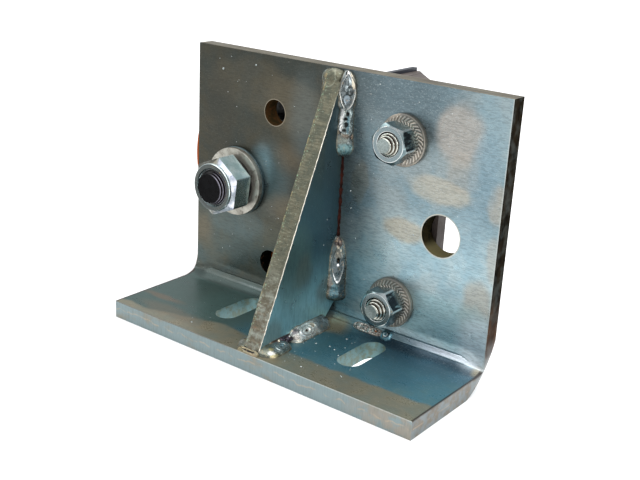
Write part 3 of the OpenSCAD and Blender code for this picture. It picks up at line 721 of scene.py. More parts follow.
def bent_plate():
    """The L section swept across the plate. At its ends the inner bend swells and the outer one sinks."""
    bend_c = Vector((FACE_Y - BEND_IN_R, PLATE_T + BEND_IN_R))
    out_c = Vector((BACK_Y - BEND_OUT_R, BEND_OUT_R))
    inner, outer = [], []
    for k in range(13):
        t = k / 12
        inner.append((FRONT_Y + t * (bend_c.x - FRONT_Y), PLATE_T, -1.0))
        outer.append((FRONT_Y + t * (out_c.x - FRONT_Y), 0.0, -1.0))
    arc = sorted(set(range(0, 91, 5)) | set(range(38, 69)))
    for deg in arc[1:]:
        a = math.radians(deg)
        inner.append((bend_c.x + BEND_IN_R * math.sin(a), bend_c.y - BEND_IN_R * math.cos(a), deg))
        outer.append((out_c.x + BEND_OUT_R * math.sin(a), out_c.y - BEND_OUT_R * math.cos(a), deg))
    for k in range(1, 13):
        t = k / 12
        inner.append((FACE_Y, bend_c.y + t * (TOP_Z - bend_c.y), -1.0))
        outer.append((BACK_Y, out_c.y + t * (TOP_Z - out_c.y), -1.0))
    inner, outer = np.array(inner), np.array(outer)
    depth = 6
    end = [0, 0.4, 0.9, 1.6, 2.6, 4, 5.5, 7, 8, 9, 10, 11, 12, 14, 17, 21, 26]
    xs = [-HALF_W + e * MM for e in end] + list(np.linspace(-HALF_W + 32 * MM, HALF_W - 32 * MM, 29))
    xs += [HALF_W - e * MM for e in reversed(end)]
    ns, nx = len(inner), len(xs)
    corner = Vector((FACE_Y, PLATE_T))

    def point(i, s, t):
        x = xs[i]
        from_end = HALF_W - abs(x)
        a, b = inner[s], outer[s]
        y, z = a[0] * (1 - t) + b[0] * t, a[1] * (1 - t) + b[1] * t
        if a[2] >= 0:
            arch = math.sin(math.radians(2 * a[2])) if 0 < a[2] < 90 else 0
            if t == 0:
                # the press's nose left a flat with a groove on each side, and stopped short of the ends
                fade = float(smoothstep(7.5, 11.5, from_end / MM))
                high = 62.5 - 8 * float(smoothstep(14, 7, from_end / MM))
                low = 43
                n = Vector((-math.sin(math.radians(a[2])), math.cos(math.radians(a[2]))))
                side = 1 if x > 0 else 0.35
                upper = 0.32 * math.exp(-(((a[2] - high) / 1.3) ** 2))
                lower = side * 0.28 * math.exp(-(((a[2] - low) / 1.3) ** 2))
                pressed = upper + lower + 0.14 * side * (low < a[2] < high)
                y -= n.x * pressed * fade * MM
                z -= n.y * pressed * fade * MM
            # near the ends the corner is tighter
            pull = 0.45 * float(smoothstep(12, 0, from_end / MM)) * (1.0 if x > 0 else 0.8) * arch * (1 - t)
            y += (corner.x - inner[s][0]) * pull
            z += (corner.y - inner[s][1]) * pull
            sink = 1.3 * t * t * arch * float(smoothstep(22, 0, from_end / MM)) * math.sqrt(0.5) * MM
            y, z = y - sink, z + sink
            swell = (1.0 * (1 - t) ** 2 - 1.0 * t) * arch * math.exp(-from_end / MM / 5.0)
            x += swell * MM * (1 if x > 0 else -1)
        return (x, y, z)

    index, verts = {}, []

    def vert(i, s, d):
        key = (i, s, d)
        if key not in index:
            index[key] = len(verts)
            verts.append(point(i, s, d / depth))
        return index[key]

    faces = []
    for i in range(nx - 1):
        for s in range(ns - 1):
            faces.append((vert(i, s, 0), vert(i + 1, s, 0), vert(i + 1, s + 1, 0), vert(i, s + 1, 0)))
            e = depth
            faces.append((vert(i, s, e), vert(i, s + 1, e), vert(i + 1, s + 1, e), vert(i + 1, s, e)))
        for d in range(depth):
            faces.append((vert(i, 0, d), vert(i, 0, d + 1), vert(i + 1, 0, d + 1), vert(i + 1, 0, d)))
            e = ns - 1
            faces.append((vert(i, e, d), vert(i + 1, e, d), vert(i + 1, e, d + 1), vert(i, e, d + 1)))
    for s in range(ns - 1):
        for d in range(depth):
            faces.append((vert(0, s, d), vert(0, s + 1, d), vert(0, s + 1, d + 1), vert(0, s, d + 1)))
            e = nx - 1
            faces.append((vert(e, s, d), vert(e, s, d + 1), vert(e, s + 1, d + 1), vert(e, s + 1, d)))
    skins = [M_SKIN, M_CUT, M_BORE]
    return new_object("bracket_plate_bent", verts, faces, slot="zinc_plate", materials=skins)


def cutter(name, outline, low, high, axis):
    """A prism to cut with: its outline is (a, b) points across the axis, Y or Z."""
    n = len(outline)
    verts = [(a, h, b) if axis == "Y" else (a, b, h) for h in (low, high) for a, b in outline]
    faces = [tuple(range(n)), tuple(reversed(range(n, 2 * n)))]
    faces += [(k, k + n, (k + 1) % n + n, (k + 1) % n) for k in range(n)]
    mesh = bpy.data.meshes.new(name)
    mesh.from_pydata(verts, [], faces)
    face_outwards(mesh)
    return linked(name, mesh)


def arc(x, z, r, angles):
    return [(x + r * math.cos(a), z + r * math.sin(a)) for a in angles]


def circle(x, z, r, steps=56):
    return arc(x, z, r, [2 * math.pi * k / steps for k in range(steps)])


def slot_outline(x):
    steps = 20
    half = SLOT_LEN / 2 - SLOT_R
    ahead = [math.pi * k / steps for k in range(steps + 1)]
    return arc(x, half, SLOT_R, ahead) + arc(x, -half, SLOT_R, [math.pi + a for a in ahead])


def apply_modifiers(obj):
    """Puts the result of an object's modifiers in its own mesh."""
    bpy.context.view_layer.update()
    mesh = bpy.data.meshes.new_from_object(obj.evaluated_get(bpy.context.evaluated_depsgraph_get()))
    obj.modifiers.clear()
    obj.data = mesh


def cut(obj, tools):
    for t in tools:
        m = obj.modifiers.new("cut", "BOOLEAN")
        m.operation = "DIFFERENCE"
        m.solver = "EXACT"
        m.object = t
    apply_modifiers(obj)
    for t in tools:
        bpy.data.objects.remove(t)


plate = bent_plate()
PAST = 10 * MM
FRONT_TO_BACK = (FACE_Y - PAST, BACK_Y + PAST, "Y")
tools = [cutter(f"cut_small_{i}", circle(x, z, SMALL_HOLE_R), *FRONT_TO_BACK)
         for i, (x, z) in enumerate((sx * SHOE_BOLT_X, z) for sx in (-1, 1) for z in HOLE_Z)]
tools += [cutter(f"cut_large_{i}", circle(sx * -AXLE_X, AXLE_Z, LARGE_HOLE_R, 72), *FRONT_TO_BACK)
          for i, sx in enumerate((-1, 1))]
tools += [cutter(f"cut_slot_{i}", slot_outline(sx * SHOE_BOLT_X), -PAST, PLATE_T + PAST, "Z")
          for i, sx in enumerate((-1, 1))]
cut(plate, tools)


NEAR = 0.1 * MM
CUT_EDGE, HOLE_WALL = 1, 2


def in_hole(c):
    """True for a point on the wall of a hole or slot."""
    if c.z < PLATE_T:
        return abs(abs(c.x) - SHOE_BOLT_X) < SLOT_R + NEAR and abs(c.y) < SLOT_LEN / 2 + NEAR
    near = [(sx * SHOE_BOLT_X, z, SMALL_HOLE_R) for sx in (-1, 1) for z in HOLE_Z]
    near += [(sx * AXLE_X, AXLE_Z, LARGE_HOLE_R) for sx in (-1, 1)]
    return any(math.hypot(c.x - x, c.z - z) < r + NEAR for x, z, r in near) and FACE_Y < c.y < BACK_Y


def on_cut_edge(c, n):
    """True for a face of the plate's right or left end, its top edge or its front edge."""
    at_end = abs(n.x) > 0.6 and abs(c.x) > HALF_W - 5 * MM
    on_top = n.z > 0.9 and c.z > TOP_Z - NEAR
    return at_end or on_top or (n.y < -0.9 and c.y < FRONT_Y + NEAR)


for face in plate.data.polygons:
    c, n = face.center, face.normal
    if in_hole(c) and abs(n.z if c.z < PLATE_T else n.y) < 0.5:
        face.material_index = HOLE_WALL
    elif on_cut_edge(c, n):
        face.material_index = CUT_EDGE
bevel(plate, 0.45 * MM, 55)
apply_modifiers(plate)
shade(plate, 20)
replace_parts(plate, "bracket_plate")


# ---------------------------------------------------------------- the gusset


def gusset():
    """A plate on edge whose front edge is sawn: ridges cross it, deeper towards the foot."""
    foot = Vector((GUSSET_TOE, PLATE_T))
    top = Vector((FACE_Y - 5.5 * MM, GUSSET_TOP))
    notch = 11.5 * MM
    run = (top - foot).length
    along = (top - foot).normalized()
    out = Vector((-along.y, along.x))
    rows, cols = 620, 26
    u = np.linspace(0, 1, rows)
    across = np.concatenate([[-1, -0.985, -0.95], np.linspace(-0.9, 0.9, cols - 6), [0.95, 0.985, 1]])
    rounding = -0.30 * MM * smoothstep(0.93, 1, np.abs(across)) ** 1.5
    foot_zone = smoothstep(0.42, 0.0, u)[:, None]
    ridges = 0.07 * soft_noise((rows, cols), (300, 3), 3) + 0.06 * soft_noise((rows, cols), (140, 5), 4)
    low = 0.20 * soft_noise((rows, cols), (150, 2), 5) + 0.14 * soft_noise((rows, cols), (110, 7), 6)
    ridges = ridges + foot_zone * low
    ridges = (ridges + 0.05 * soft_noise((rows, cols), (60, 12), 7)) * MM
    burr = 0.12 * MM * soft_noise((rows, 2), (90, 1), 8)
    verts = []
    for i in range(rows):
        base = foot + along * run * u[i]
        for j in range(cols):
            h = rounding[j] + ridges[i, j] + (burr[i, 0] if across[j] > 0.9 else 0) - 0.15 * MM
            p = base + out * h
            verts.append((GUSSET_X * across[j], p.x, p.y))
    faces = [tuple(reversed(f)) for f in grid_faces(rows, cols)]
    side = {}
    for key, j in ((-1, 0), (1, cols - 1)):
        rest = []
        for y, z in ((FACE_Y, GUSSET_TOP), (FACE_Y, PLATE_T + notch), (FACE_Y - notch, PLATE_T)):
            rest.append(len(verts))
            verts.append((key * GUSSET_X, y, z))
        side[key] = [i * cols + j for i in range(rows)] + rest
    faces.append(tuple(side[-1]))
    faces.append(tuple(reversed(side[1])))
    left_top, right_top = side[-1][rows - 1:], side[1][rows - 1:]
    faces.append(tuple([(rows - 1) * cols + j for j in range(cols)] + [right_top[1], left_top[1]]))
    for k in (1, 2):
        faces.append((left_top[k], right_top[k], right_top[k + 1], left_top[k + 1]))
    faces.append(tuple([left_top[3], right_top[3]] + [j for j in range(cols - 1, -1, -1)]))
    skins = [M_GUSSET, M_SAWN]
    obj = new_object("gusset_sawn_plate", verts, faces, slot="zinc_gusset", materials=skins, smooth=50)
    face_outwards(obj.data)
    for f in obj.data.polygons:
        f.material_index = 0 if abs(f.normal.x) > 0.9 else 1
        f.use_smooth = len(f.vertices) < 9
    return obj


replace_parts(gusset(), "gusset_plate")


# ---------------------------------------------------------------- weld beads


def painted(under, tone, share):
    """Tints with a screen colour laid over them by share."""
    return under * (1 - share) + np.array(colour(*tone)) * share


def keep_tints(obj, tints):
    layer = obj.data.color_attributes.new("bead_tint", "FLOAT_COLOR", "POINT")
    layer.data.foreach_set("color", tints.reshape(-1))


def bead(name, start, along, side_a, side_b, length, leg, end_a, end_b, marks, tints, ground, seed,
         mirror=False, leg_end=None):
    """A weld bead in a corner. It starts at start and runs along; side_a and side_b point out of the corner.

    Its lengths are millimetres. marks are (kind, across, along, reach across, reach along, height), and
    across runs from 0 on side a to 1 on side b. tints are (across, along, reach across, reach along, colour,
    share). A seventh number makes a tint a ring that wide, and an eighth starts the ring that far along.
    leg_end is the leg at the far end.
    """
    step, fullness = 0.22, 0.55
    rows, cols = int(length / step) + 1, 61
    s = np.linspace(0, length, rows)[:, None]
    c = np.linspace(0, 1, cols)[None, :]
    t = np.where(s < end_a, 1 - s / end_a, np.where(s > length - end_b, 1 - (length - s) / end_b, 0))
    w = (leg + ((leg_end or leg) - leg) * s / length) * np.sqrt(np.clip(1 - t ** 2.2, 0, 1))
    uneven = soft_noise((rows, 2), (max(3, int(length / 2.6)), 1), seed + 7)
    w = w * (1 + 0.04 * (uneven[:, :1] * (1 - c) + uneven[:, 1:] * c))

    def reach(ca, sa, rc, rs, power=2):
        """1 on the outline of an oval, or of a pointed lens when power is less than 2."""
        return (np.abs((c - ca) * leg * 1.5 / rc) ** power + np.abs((s - sa) / rs) ** power) ** (1 / power)

    phi = c * math.pi / 2
    flat = 1 / (np.sin(phi) + np.cos(phi))
    r = w * (flat * (1 - fullness) + fullness * (0.86 + 0.10 * np.sin(2 * phi)))
    lump = soft_noise((rows, cols), (max(3, int(length / 3)), 5), seed) * 0.10
    lump = lump + soft_noise((rows, cols), (max(6, int(length / 1.1)), 14), seed + 1) * 0.05
    h = lump * w / leg
    shape = np.zeros((rows, cols))
    for kind, ca, sa, rc, rs, size in marks:
        q = reach(ca, sa, rc, rs)
        if kind == "bowl":
            shape = shape - size * np.exp(-q ** 4) + 0.45 * size * np.exp(-((q - 1.12) / 0.16) ** 2)
        elif kind == "lump":
            shape = shape + size * np.exp(-q ** 2.5)
        elif kind == "ripples":
            shape = shape + size * np.cos(q * 2 * math.pi * 3.2) * np.exp(-(q / 1.1) ** 6)
        elif kind == "pit":
            shape = shape - size * np.exp(-q ** 2.6)
        elif kind == "rim":
            shape = shape + size * np.exp(-((q - 1) / 0.13) ** 2)
        elif kind == "lens":
            q = reach(ca, sa, rc, rs, 1.5)
            shape = shape + size * np.exp(-((q - 1) / 0.1) ** 2) - 0.7 * size * np.exp(-q ** 5)
    edge = np.minimum(1, np.minimum(c, 1 - c) * 9)
    r = np.maximum(r + h + shape * edge * np.clip(w / leg * 1.5, 0, 1), 0.0)
    paint = np.empty((rows, cols, 4))
    paint[:] = colour(*ground)
    wander = soft_noise((rows, cols), (max(3, int(length / 4)), 4), seed + 2)[..., None]
    paint[..., :3] *= 1 + 0.22 * wander
    for ca, sa, rc, rs, tone, share, *ring in tints:
        if ring:
            k = share * np.exp(-((reach(ca, sa, rc, rs, 1.5) - 1) / ring[0]) ** 2)
            if len(ring) > 1:
                k = k * smoothstep(ring[1] - 1.5, ring[1] + 1.5, s)
            k = k * np.clip(0.75 + 0.9 * wander[..., 0], 0.15, 1)
        else:
            k = share * (1 - smoothstep(0.75, 1.2, reach(ca, sa, rc, rs)))
        paint = painted(paint, tone, k[..., None])
    fringe = 0.65 * (1 - smoothstep(0.03, 0.1, np.minimum(c, 1 - c) + 0 * s))[..., None]
    paint = painted(paint, OLIVE, fringe)
    a, b, run = Vector(side_a), Vector(side_b), Vector(along)
    verts = []
    for i in range(rows):
        origin = Vector(start) + run * float(s[i, 0]) * MM
        for j in range(cols):
            f = float(phi[0, j])
            verts.append(origin + (a * math.cos(f) + b * math.sin(f)) * float(r[i, j]) * MM)
        verts.append(origin - (a + b) * 0.25 * MM)
    n = cols + 1
    ends = [tuple(range(n)), tuple((rows - 1) * n + k for k in reversed(range(n)))]
    faces = grid_faces(rows, n, False, True) + ends
    if mirror:
        verts = [(-v.x, v.y, v.z) for v in verts]
    obj = new_object(name, verts, faces, slot="weld_bead", materials=[M_WELD], smooth=75)
    keep_tints(obj, np.concatenate([paint, paint[:, :1]], axis=1))
    face_outwards(obj.data)
    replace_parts(obj, "gusset_welds")


SILVER = (196, 208, 212)
STEEL = (132, 146, 150)
TEAL = (84, 126, 138)
# near black painted shade for pits and the slit in the welds
RECESS_SHADE = (16, 14, 14)
CREAM = (228, 216, 190)
# white for painted highlights on the welds
HIGHLIGHT_WHITE = (250, 252, 252)
PURPLE = (60, 52, 64)
OLIVE = (116, 106, 84)
UP, DOWN, FORWARD, RIGHT = (0, 0, 1), (0, 0, -1), (0, -1, 0), (1, 0, 0)


def weld_beads():
    # down from the top: a lens with thin bright rims painted as highlights and a crater, then a lobed bead
    # with a chain of pits painted near black as shade
    bead("bead_top_lens", (GUSSET_X, FACE_Y, GUSSET_TOP + 5.6 * MM), DOWN, (0, -1.2, 0), (1.1, 0, 0), 21.5,
         6.2, 11, 6,
         [("lens", 0.5, 10.4, 4.0, 9.8, 0.6), ("rim", 0.6, 9.6, 1.8, 2.2, 0.5),
          ("pit", 0.62, 9.4, 0.9, 1.0, 0.9), ("bowl", 0.46, 14.2, 2.0, 2.6, 0.35),
          ("pit", 0.3, 1.0, 0.9, 1.0, 1.0), ("lump", 0.4, 6.5, 1.0, 3.0, 0.4)],
         [(0.5, 10.4, 4.0, 10, (98, 106, 108), 0.8), (0.7, 5.5, 1.6, 4.5, (150, 160, 162), 0.8),
          (0.5, 10.4, 4.1, 9.8, (246, 244, 236), 1.0, 0.075), (0.82, 5.0, 0.9, 4.5, CREAM, 0.7),
          (0.6, 9.6, 1.9, 2.3, (34, 38, 40), 0.95, 0.28), (0.6, 9.4, 0.8, 0.9, (150, 160, 160), 0.8),
          (0.66, 10.6, 0.5, 0.7, RECESS_SHADE, 0.9), (0.42, 8.6, 0.9, 1.6, (196, 208, 210), 0.8),
          (0.46, 14.2, 2.0, 2.4, (134, 148, 156), 0.9), (0.46, 14.2, 2.3, 2.9, (52, 56, 58), 0.7, 0.16),
          (0.3, 1.0, 1.0, 1.3, RECESS_SHADE, 1)],
         (112, 120, 120), seed=11)
    bead("bead_top_lobes", (GUSSET_X, FACE_Y, GUSSET_TOP - 11.5 * MM), DOWN, FORWARD, RIGHT, 28.5, 5.6, 2.5,
         8,
         [("lump", 0.2, 9, 1.7, 6, 0.5), ("lump", 0.78, 9, 1.7, 6, 0.4), ("pit", 0.58, 5.0, 0.8, 1.1, 1.2),
          ("pit", 0.45, 7.6, 1.2, 0.8, 1.1), ("pit", 0.52, 10.6, 0.9, 1.3, 1.2),
          ("pit", 0.38, 13.6, 1.2, 0.8, 1.0), ("pit", 0.08, 14.6, 0.8, 1.0, 0.7),
          ("pit", 0.9, 17, 0.7, 1.0, 0.7), ("ripples", 0.5, 13, 3.6, 4, 0.14)],
         [(0.18, 6, 1.3, 4.0, (214, 216, 214), 0.9), (0.16, 11.5, 1.2, 2.6, (224, 226, 224), 0.9),
          (0.8, 8, 1.4, 6.4, (148, 162, 162), 0.8), (0.6, 9.5, 0.8, 6, TEAL, 0.7),
          (0.58, 5.0, 0.7, 1.3, RECESS_SHADE, 1), (0.45, 7.6, 1.1, 0.7, RECESS_SHADE, 1), (0.52, 10.6, 0.7, 1.4, RECESS_SHADE, 0.95),
          (0.38, 13.6, 1.1, 0.7, RECESS_SHADE, 0.9), (0.5, 16.6, 2.0, 1.4, (84, 62, 40), 0.7),
          (0.07, 14.6, 0.8, 1.2, (48, 38, 34), 0.9), (0.9, 17, 0.8, 1.4, (88, 60, 46), 0.8),
          (0.3, 19, 2.6, 2.2, (110, 116, 108), 0.7), (0.5, 24, 5, 3.6, (104, 140, 142), 0.85)],
         (122, 130, 128), seed=21, leg_end=7.6)
    # low on the upright: a lens whose V rim and dots are painted white as highlights, and whose pit is
    # painted near black as shade
    bead("bead_upright_low", (GUSSET_X, FACE_Y, GUSSET_TOP - 84 * MM), DOWN, FORWARD, RIGHT, 38, 6.6, 15, 5,
         [("lens", 0.5, 15.6, 3.4, 9.8, 0.3), ("pit", 0.52, 13.3, 0.8, 1.5, 1.3),
          ("lump", 0.5, 30, 3.6, 5.5, 0.3), ("pit", 0.4, 4.2, 0.7, 1.0, 0.5),
          ("lump", 0.6, 4.6, 0.6, 0.8, 0.4), ("lump", 0.7, 7.2, 0.6, 0.8, 0.4)],
         [(0.5, 15.6, 3.6, 10, (94, 104, 108), 0.75), (0.5, 9, 2.2, 3.6, (112, 104, 86), 0.6),
          (0.5, 15.6, 3.3, 9.6, (150, 158, 154), 0.7, 0.07), (0.5, 15.6, 3.3, 9.6, HIGHLIGHT_WHITE, 1.0, 0.06, 20),
          (0.5, 25.2, 0.5, 0.6, HIGHLIGHT_WHITE, 1), (0.5, 2.5, 4, 3.2, (66, 46, 38), 0.85),
          (0.45, 5.4, 0.8, 0.8, CREAM, 0.7), (0.68, 7.4, 0.6, 0.7, CREAM, 0.6),
          (0.52, 13.0, 0.75, 1.7, RECESS_SHADE, 1), (0.5, 15.4, 0.7, 0.7, HIGHLIGHT_WHITE, 1),
          (0.12, 27, 1.2, 5, (134, 124, 116), 0.7), (0.35, 31, 2.2, 5, (104, 142, 152), 0.8),
          (0.75, 31, 1.6, 5, (88, 116, 126), 0.7)],
         (100, 114, 114), seed=31, leg_end=8.2)
    for mirror, name, seed in ((False, "bead_base", 41), (True, "bead_left_base", 75)):
        # along the base: a rippled bead with a pin hole painted dark as shade, a granular neck, then a low
        # glassy blob at the foot; the white tints on the back and front beads and the front bead's gold spot
        # are painted highlights, weaker on the left copy of the front bead
        bead(name + "_back", (GUSSET_X, FRONT_Y + 59.5 * MM, PLATE_T), FORWARD, UP, RIGHT, 34, 7.2, 7, 8,
             [("ripples", 0.5, 22, 4.8, 8.0, 0.1), ("pit", 0.5, 22, 0.9, 1.1, 1.4),
              ("lump", 0.5, 8, 4, 6, 0.2)],
             [(0.5, 22, 5.4, 9.0, (238, 242, 236), 0.9), (0.5, 22, 3.0, 4.6, (110, 108, 100), 0.6, 0.14),
              (0.34, 16.8, 1.8, 1.6, (222, 202, 176), 0.85), (0.6, 27, 2.2, 1.8, HIGHLIGHT_WHITE, 0.7),
              (0.5, 22, 0.85, 1.2, (34, 18, 10), 1), (0.5, 7.5, 6, 7, (122, 136, 138), 0.9),
              (0.25, 29.5, 2, 2.6, PURPLE, 0.8), (0.6, 31, 2, 2, (80, 66, 60), 0.7)],
             (178, 182, 176), seed=seed, mirror=mirror)
        bead(name + "_neck", (GUSSET_X, FRONT_Y + 30 * MM, PLATE_T + 1.4 * MM), FORWARD, UP, RIGHT, 21, 3.4,
             4, 5,
             [("pit", 0.3, 3, 0.8, 0.8, 0.7), ("pit", 0.5, 7, 0.8, 0.7, 0.8), ("pit", 0.7, 9, 0.8, 0.8, 0.7),
              ("pit", 0.3, 11.5, 0.8, 0.8, 0.7), ("lump", 0.4, 4.5, 0.7, 0.7, 0.5),
              ("lump", 0.55, 9, 0.7, 0.7, 0.6), ("lump", 0.3, 13, 0.8, 0.7, 0.7)],
             [(0.5, 7, 4, 7, PURPLE, 0.85), (0.5, 15, 4, 4, (86, 68, 54), 0.8),
              (0.4, 4.5, 0.6, 0.6, SILVER, 0.7), (0.35, 13, 0.8, 0.7, CREAM, 0.9),
              (0.5, 17.5, 0.8, 0.7, SILVER, 0.7)],
             (64, 56, 60), seed=seed + 10, mirror=mirror)
        bead(name + "_front", (GUSSET_X, FRONT_Y + 24 * MM, PLATE_T), FORWARD, (0, 0, 0.55), (1.15, 0, 0), 22,
             8.0, 8, 8,
             [("ripples", 0.45, 9, 4.4, 5.6, 0.16), ("bowl", 0.42, 9, 2.4, 3.0, 0.35),
              ("pit", 0.5, 19, 1.0, 0.8, 0.5)],
             [(0.45, 9, 5.0, 6.6, (122, 138, 140), 0.9), (0.4, 8, 1.5, 1.9, TEAL, 0.7),
              (0.5, 10.5, 2.6, 2.4, (200, 210, 208), 0.6, 0.2), (0.75, 8, 1.6, 5, (96, 108, 104), 0.7),
              (0.6, 17.4, 2.4, 2.0, HIGHLIGHT_WHITE, 0.1 if mirror else 0.4),
              (0.35, 16, 1.6, 1.4, (206, 190, 130), 0.2 if mirror else 0.6),
              (0.85, 17, 1.6, 2.6, (160, 150, 106), 0.7)],
             (112, 116, 104), seed=seed + 20, mirror=mirror)
    # a thin wash across the foot, over an open slit painted near black as shade
    bead("bead_toe", (-GUSSET_X - 3.5 * MM, GUSSET_TOE, PLATE_T), RIGHT, FORWARD, UP, 14.5, 2.4, 3, 3,
         [("lump", 0.5, 2.5, 1.2, 1.6, 0.4), ("pit", 0.6, 8, 0.8, 4.2, 0.5),
          ("lump", 0.5, 12.6, 1.2, 1.4, 0.4)],
         [(0.5, 2.4, 2, 2.4, (140, 130, 98), 0.8), (0.62, 8.0, 0.55, 5.0, RECESS_SHADE, 1),
          (0.2, 11, 1, 3, (168, 150, 120), 0.7)],
         (128, 120, 96), seed=97)
    # on the left beads the pits are painted near black as shade
    bead("bead_left_low", (GUSSET_X, FACE_Y, GUSSET_TOP - 86 * MM), DOWN, FORWARD, RIGHT, 34, 6.4, 9, 5,
         [("ripples", 0.5, 14, 5, 9, 0.16), ("pit", 0.5, 15, 0.8, 1.0, 1.0), ("lump", 0.5, 25, 3, 6, 0.4)],
         [(0.5, 14, 5, 9, STEEL, 0.7), (0.5, 27, 5, 6, TEAL, 0.6), (0.5, 15, 0.8, 1.0, RECESS_SHADE, 1)],
         (112, 112, 96), seed=73, mirror=True)
    bead("bead_left_top", (GUSSET_X, FACE_Y, GUSSET_TOP + 5.2 * MM), DOWN, FORWARD, RIGHT, 44, 6.0, 7, 6,
         [("lens", 0.5, 10, 4.0, 9.4, 0.5), ("ripples", 0.5, 26, 4, 8, 0.14),
          ("pit", 0.5, 22, 0.8, 1.0, 1.0)],
         [(0.5, 10, 4.0, 9.4, (150, 170, 168), 0.9, 0.08), (0.5, 34, 5, 6, TEAL, 0.6),
          (0.5, 22, 0.8, 1.0, RECESS_SHADE, 1)],
         (104, 100, 80), seed=71, mirror=True)


def top_cap():
    """Weld metal drawn over the gusset's top end, up to just below the plate's top edge."""
    nu, nv = 48, 20
    rough = soft_noise((nu, nv), (12, 6), 101)
    verts = []
    for i in range(nu):
        a = math.pi * 2 * i / nu
        for j in range(nv):
            b = math.pi / 2 * j / (nv - 1)
            size = 1 + 0.035 * float(rough[min(i, nu - 1 - i) * 2 % nu, j])
            side = abs(math.cos(a)) ** 0.8 * math.copysign(1, math.cos(a)) * math.cos(b) ** 0.7
            tall = abs(math.sin(a)) ** 0.8 * math.copysign(1, math.sin(a)) * math.cos(b) ** 0.7
            verts.append((-1.9 * MM + 6.4 * MM * side * size,
                          FACE_Y + 0.2 * MM - 6.0 * MM * math.sin(b) ** 0.9 * size,
                          GUSSET_TOP + 0.2 * MM + (5.3 if tall > 0 else 4.0) * MM * tall * size))
    faces = grid_faces(nu, nv, True, False) + [tuple(i * nv for i in range(nu))]
    cap = new_object("bead_over_gusset_top", verts, faces, slot="zinc_gusset", materials=[M_SAWN], smooth=60)
    face_outwards(cap.data, merge=True)
    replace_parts(cap, "gusset_welds")


weld_beads()
top_cap()


def bend_bead():
    """A short rough bead on the bend, its upper surface pitted, with a smooth blue drop at its right end."""
    rows, cols = 120, 36
    x0, x1 = lo("bend_weld").x, hi("bend_weld").x + 6.5 * MM
    centre = Vector((FACE_Y - BEND_IN_R, PLATE_T + BEND_IN_R))
    bumps = 0.35 * soft_noise((rows, cols), (16, 4), 81) + 0.22 * soft_noise((rows, cols), (42, 10), 82)
    verts = []
    tones = np.empty((rows, cols, 4))
    for i in range(rows):
        u = i / (rows - 1)
        drop = float(smoothstep(0.7, 0.78, u))
        middle = 0.86 if drop > 0.5 else 0.36
        half = 0.14 if drop > 0.5 else 0.40
        body = math.sqrt(max(0, 1 - min(1, abs(u - middle) / half) ** 3))
        at_neck = 0.6 < u < 0.8
        width = (14.5 if drop < 0.5 else 17) * max(body, 0.35 * at_neck) + 0.01
        for j in range(cols):
            v = j / (cols - 1) * 2 - 1
            ang = math.radians(45 + v * width)
            rise = (1.7 if drop < 0.5 else 2.0) * math.sqrt(max(0, 1 - v * v)) * max(body, 0.3 * at_neck)
            pore = math.exp(-(((u - 0.60) / 0.03) ** 2 + (v / 0.25) ** 2))
            rise = max(-0.3, rise + float(bumps[i, j]) * (rise > 0.3) * (1 - 0.8 * drop) - 1.0 * pore)
            r = BEND_IN_R + 0.35 * MM - (rise + 0.3) * MM * (1 if abs(v) < 1 else 0)
            verts.append((x0 + (x1 - x0) * u, centre.x + r * math.sin(ang), centre.y - r * math.cos(ang)))
            tone = painted(np.array(colour(196, 190, 182)), (96, 138, 152), drop)
            pitted = 0.8 * float(smoothstep(-0.12, -0.26, bumps[i, j])) * (1 - drop)
            tone = painted(tone, (82, 62, 52), pitted)
            swirl = math.hypot((u - 0.86) / 0.12, v / 0.9)
            # on the drop, a dark ring and a white painted highlight
            tone = painted(tone, (24, 28, 34), drop * (0.8 if 0.55 < swirl < 0.72 else 0))
            tone = painted(tone, HIGHLIGHT_WHITE, drop * (0.9 if 0.3 < swirl < 0.5 and v < 0.3 else 0))
            tone = painted(tone, (44, 30, 24), math.exp(-(((u - 0.60) / 0.045) ** 2 + (v / 0.4) ** 2)))
            tone = painted(tone, (226, 120, 60), pore ** 2)
            tones[i, j] = tone
    faces = grid_faces(rows, cols)
    obj = new_object("bead_in_bend", verts, faces, slot="weld_bead", materials=[M_WELD], smooth=75)
    keep_tints(obj, tones)
    solid = obj.modifiers.new("solid", "SOLIDIFY")
    solid.thickness = 0.6 * MM
    solid.offset = -1
    return obj


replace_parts(bend_bead(), "bend_weld")


def blobs(name, spots, material):
    """Small flattened drops in one mesh. spots are (place, radius, outward direction)."""
    rng = random.Random(5)
    bm = bmesh.new()
    for at, radius, out in spots:
        made = bmesh.ops.create_icosphere(bm, subdivisions=2, radius=radius)["verts"]
        turn = Vector((0, 0, 1)).rotation_difference(Vector(out)).to_matrix().to_4x4()
        squash = Matrix.Diagonal((1, rng.uniform(0.7, 1.0), rng.uniform(0.45, 0.8), 1))
        bmesh.ops.transform(bm, matrix=Matrix.Translation(at) @ turn @ squash, verts=made)
    mesh = bpy.data.meshes.new(name)
    bm.to_mesh(mesh)
    bm.free()
    obj = linked(name, mesh)
    mesh.materials.append(material)
    shade(obj, 180)
    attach(obj, "bracket")


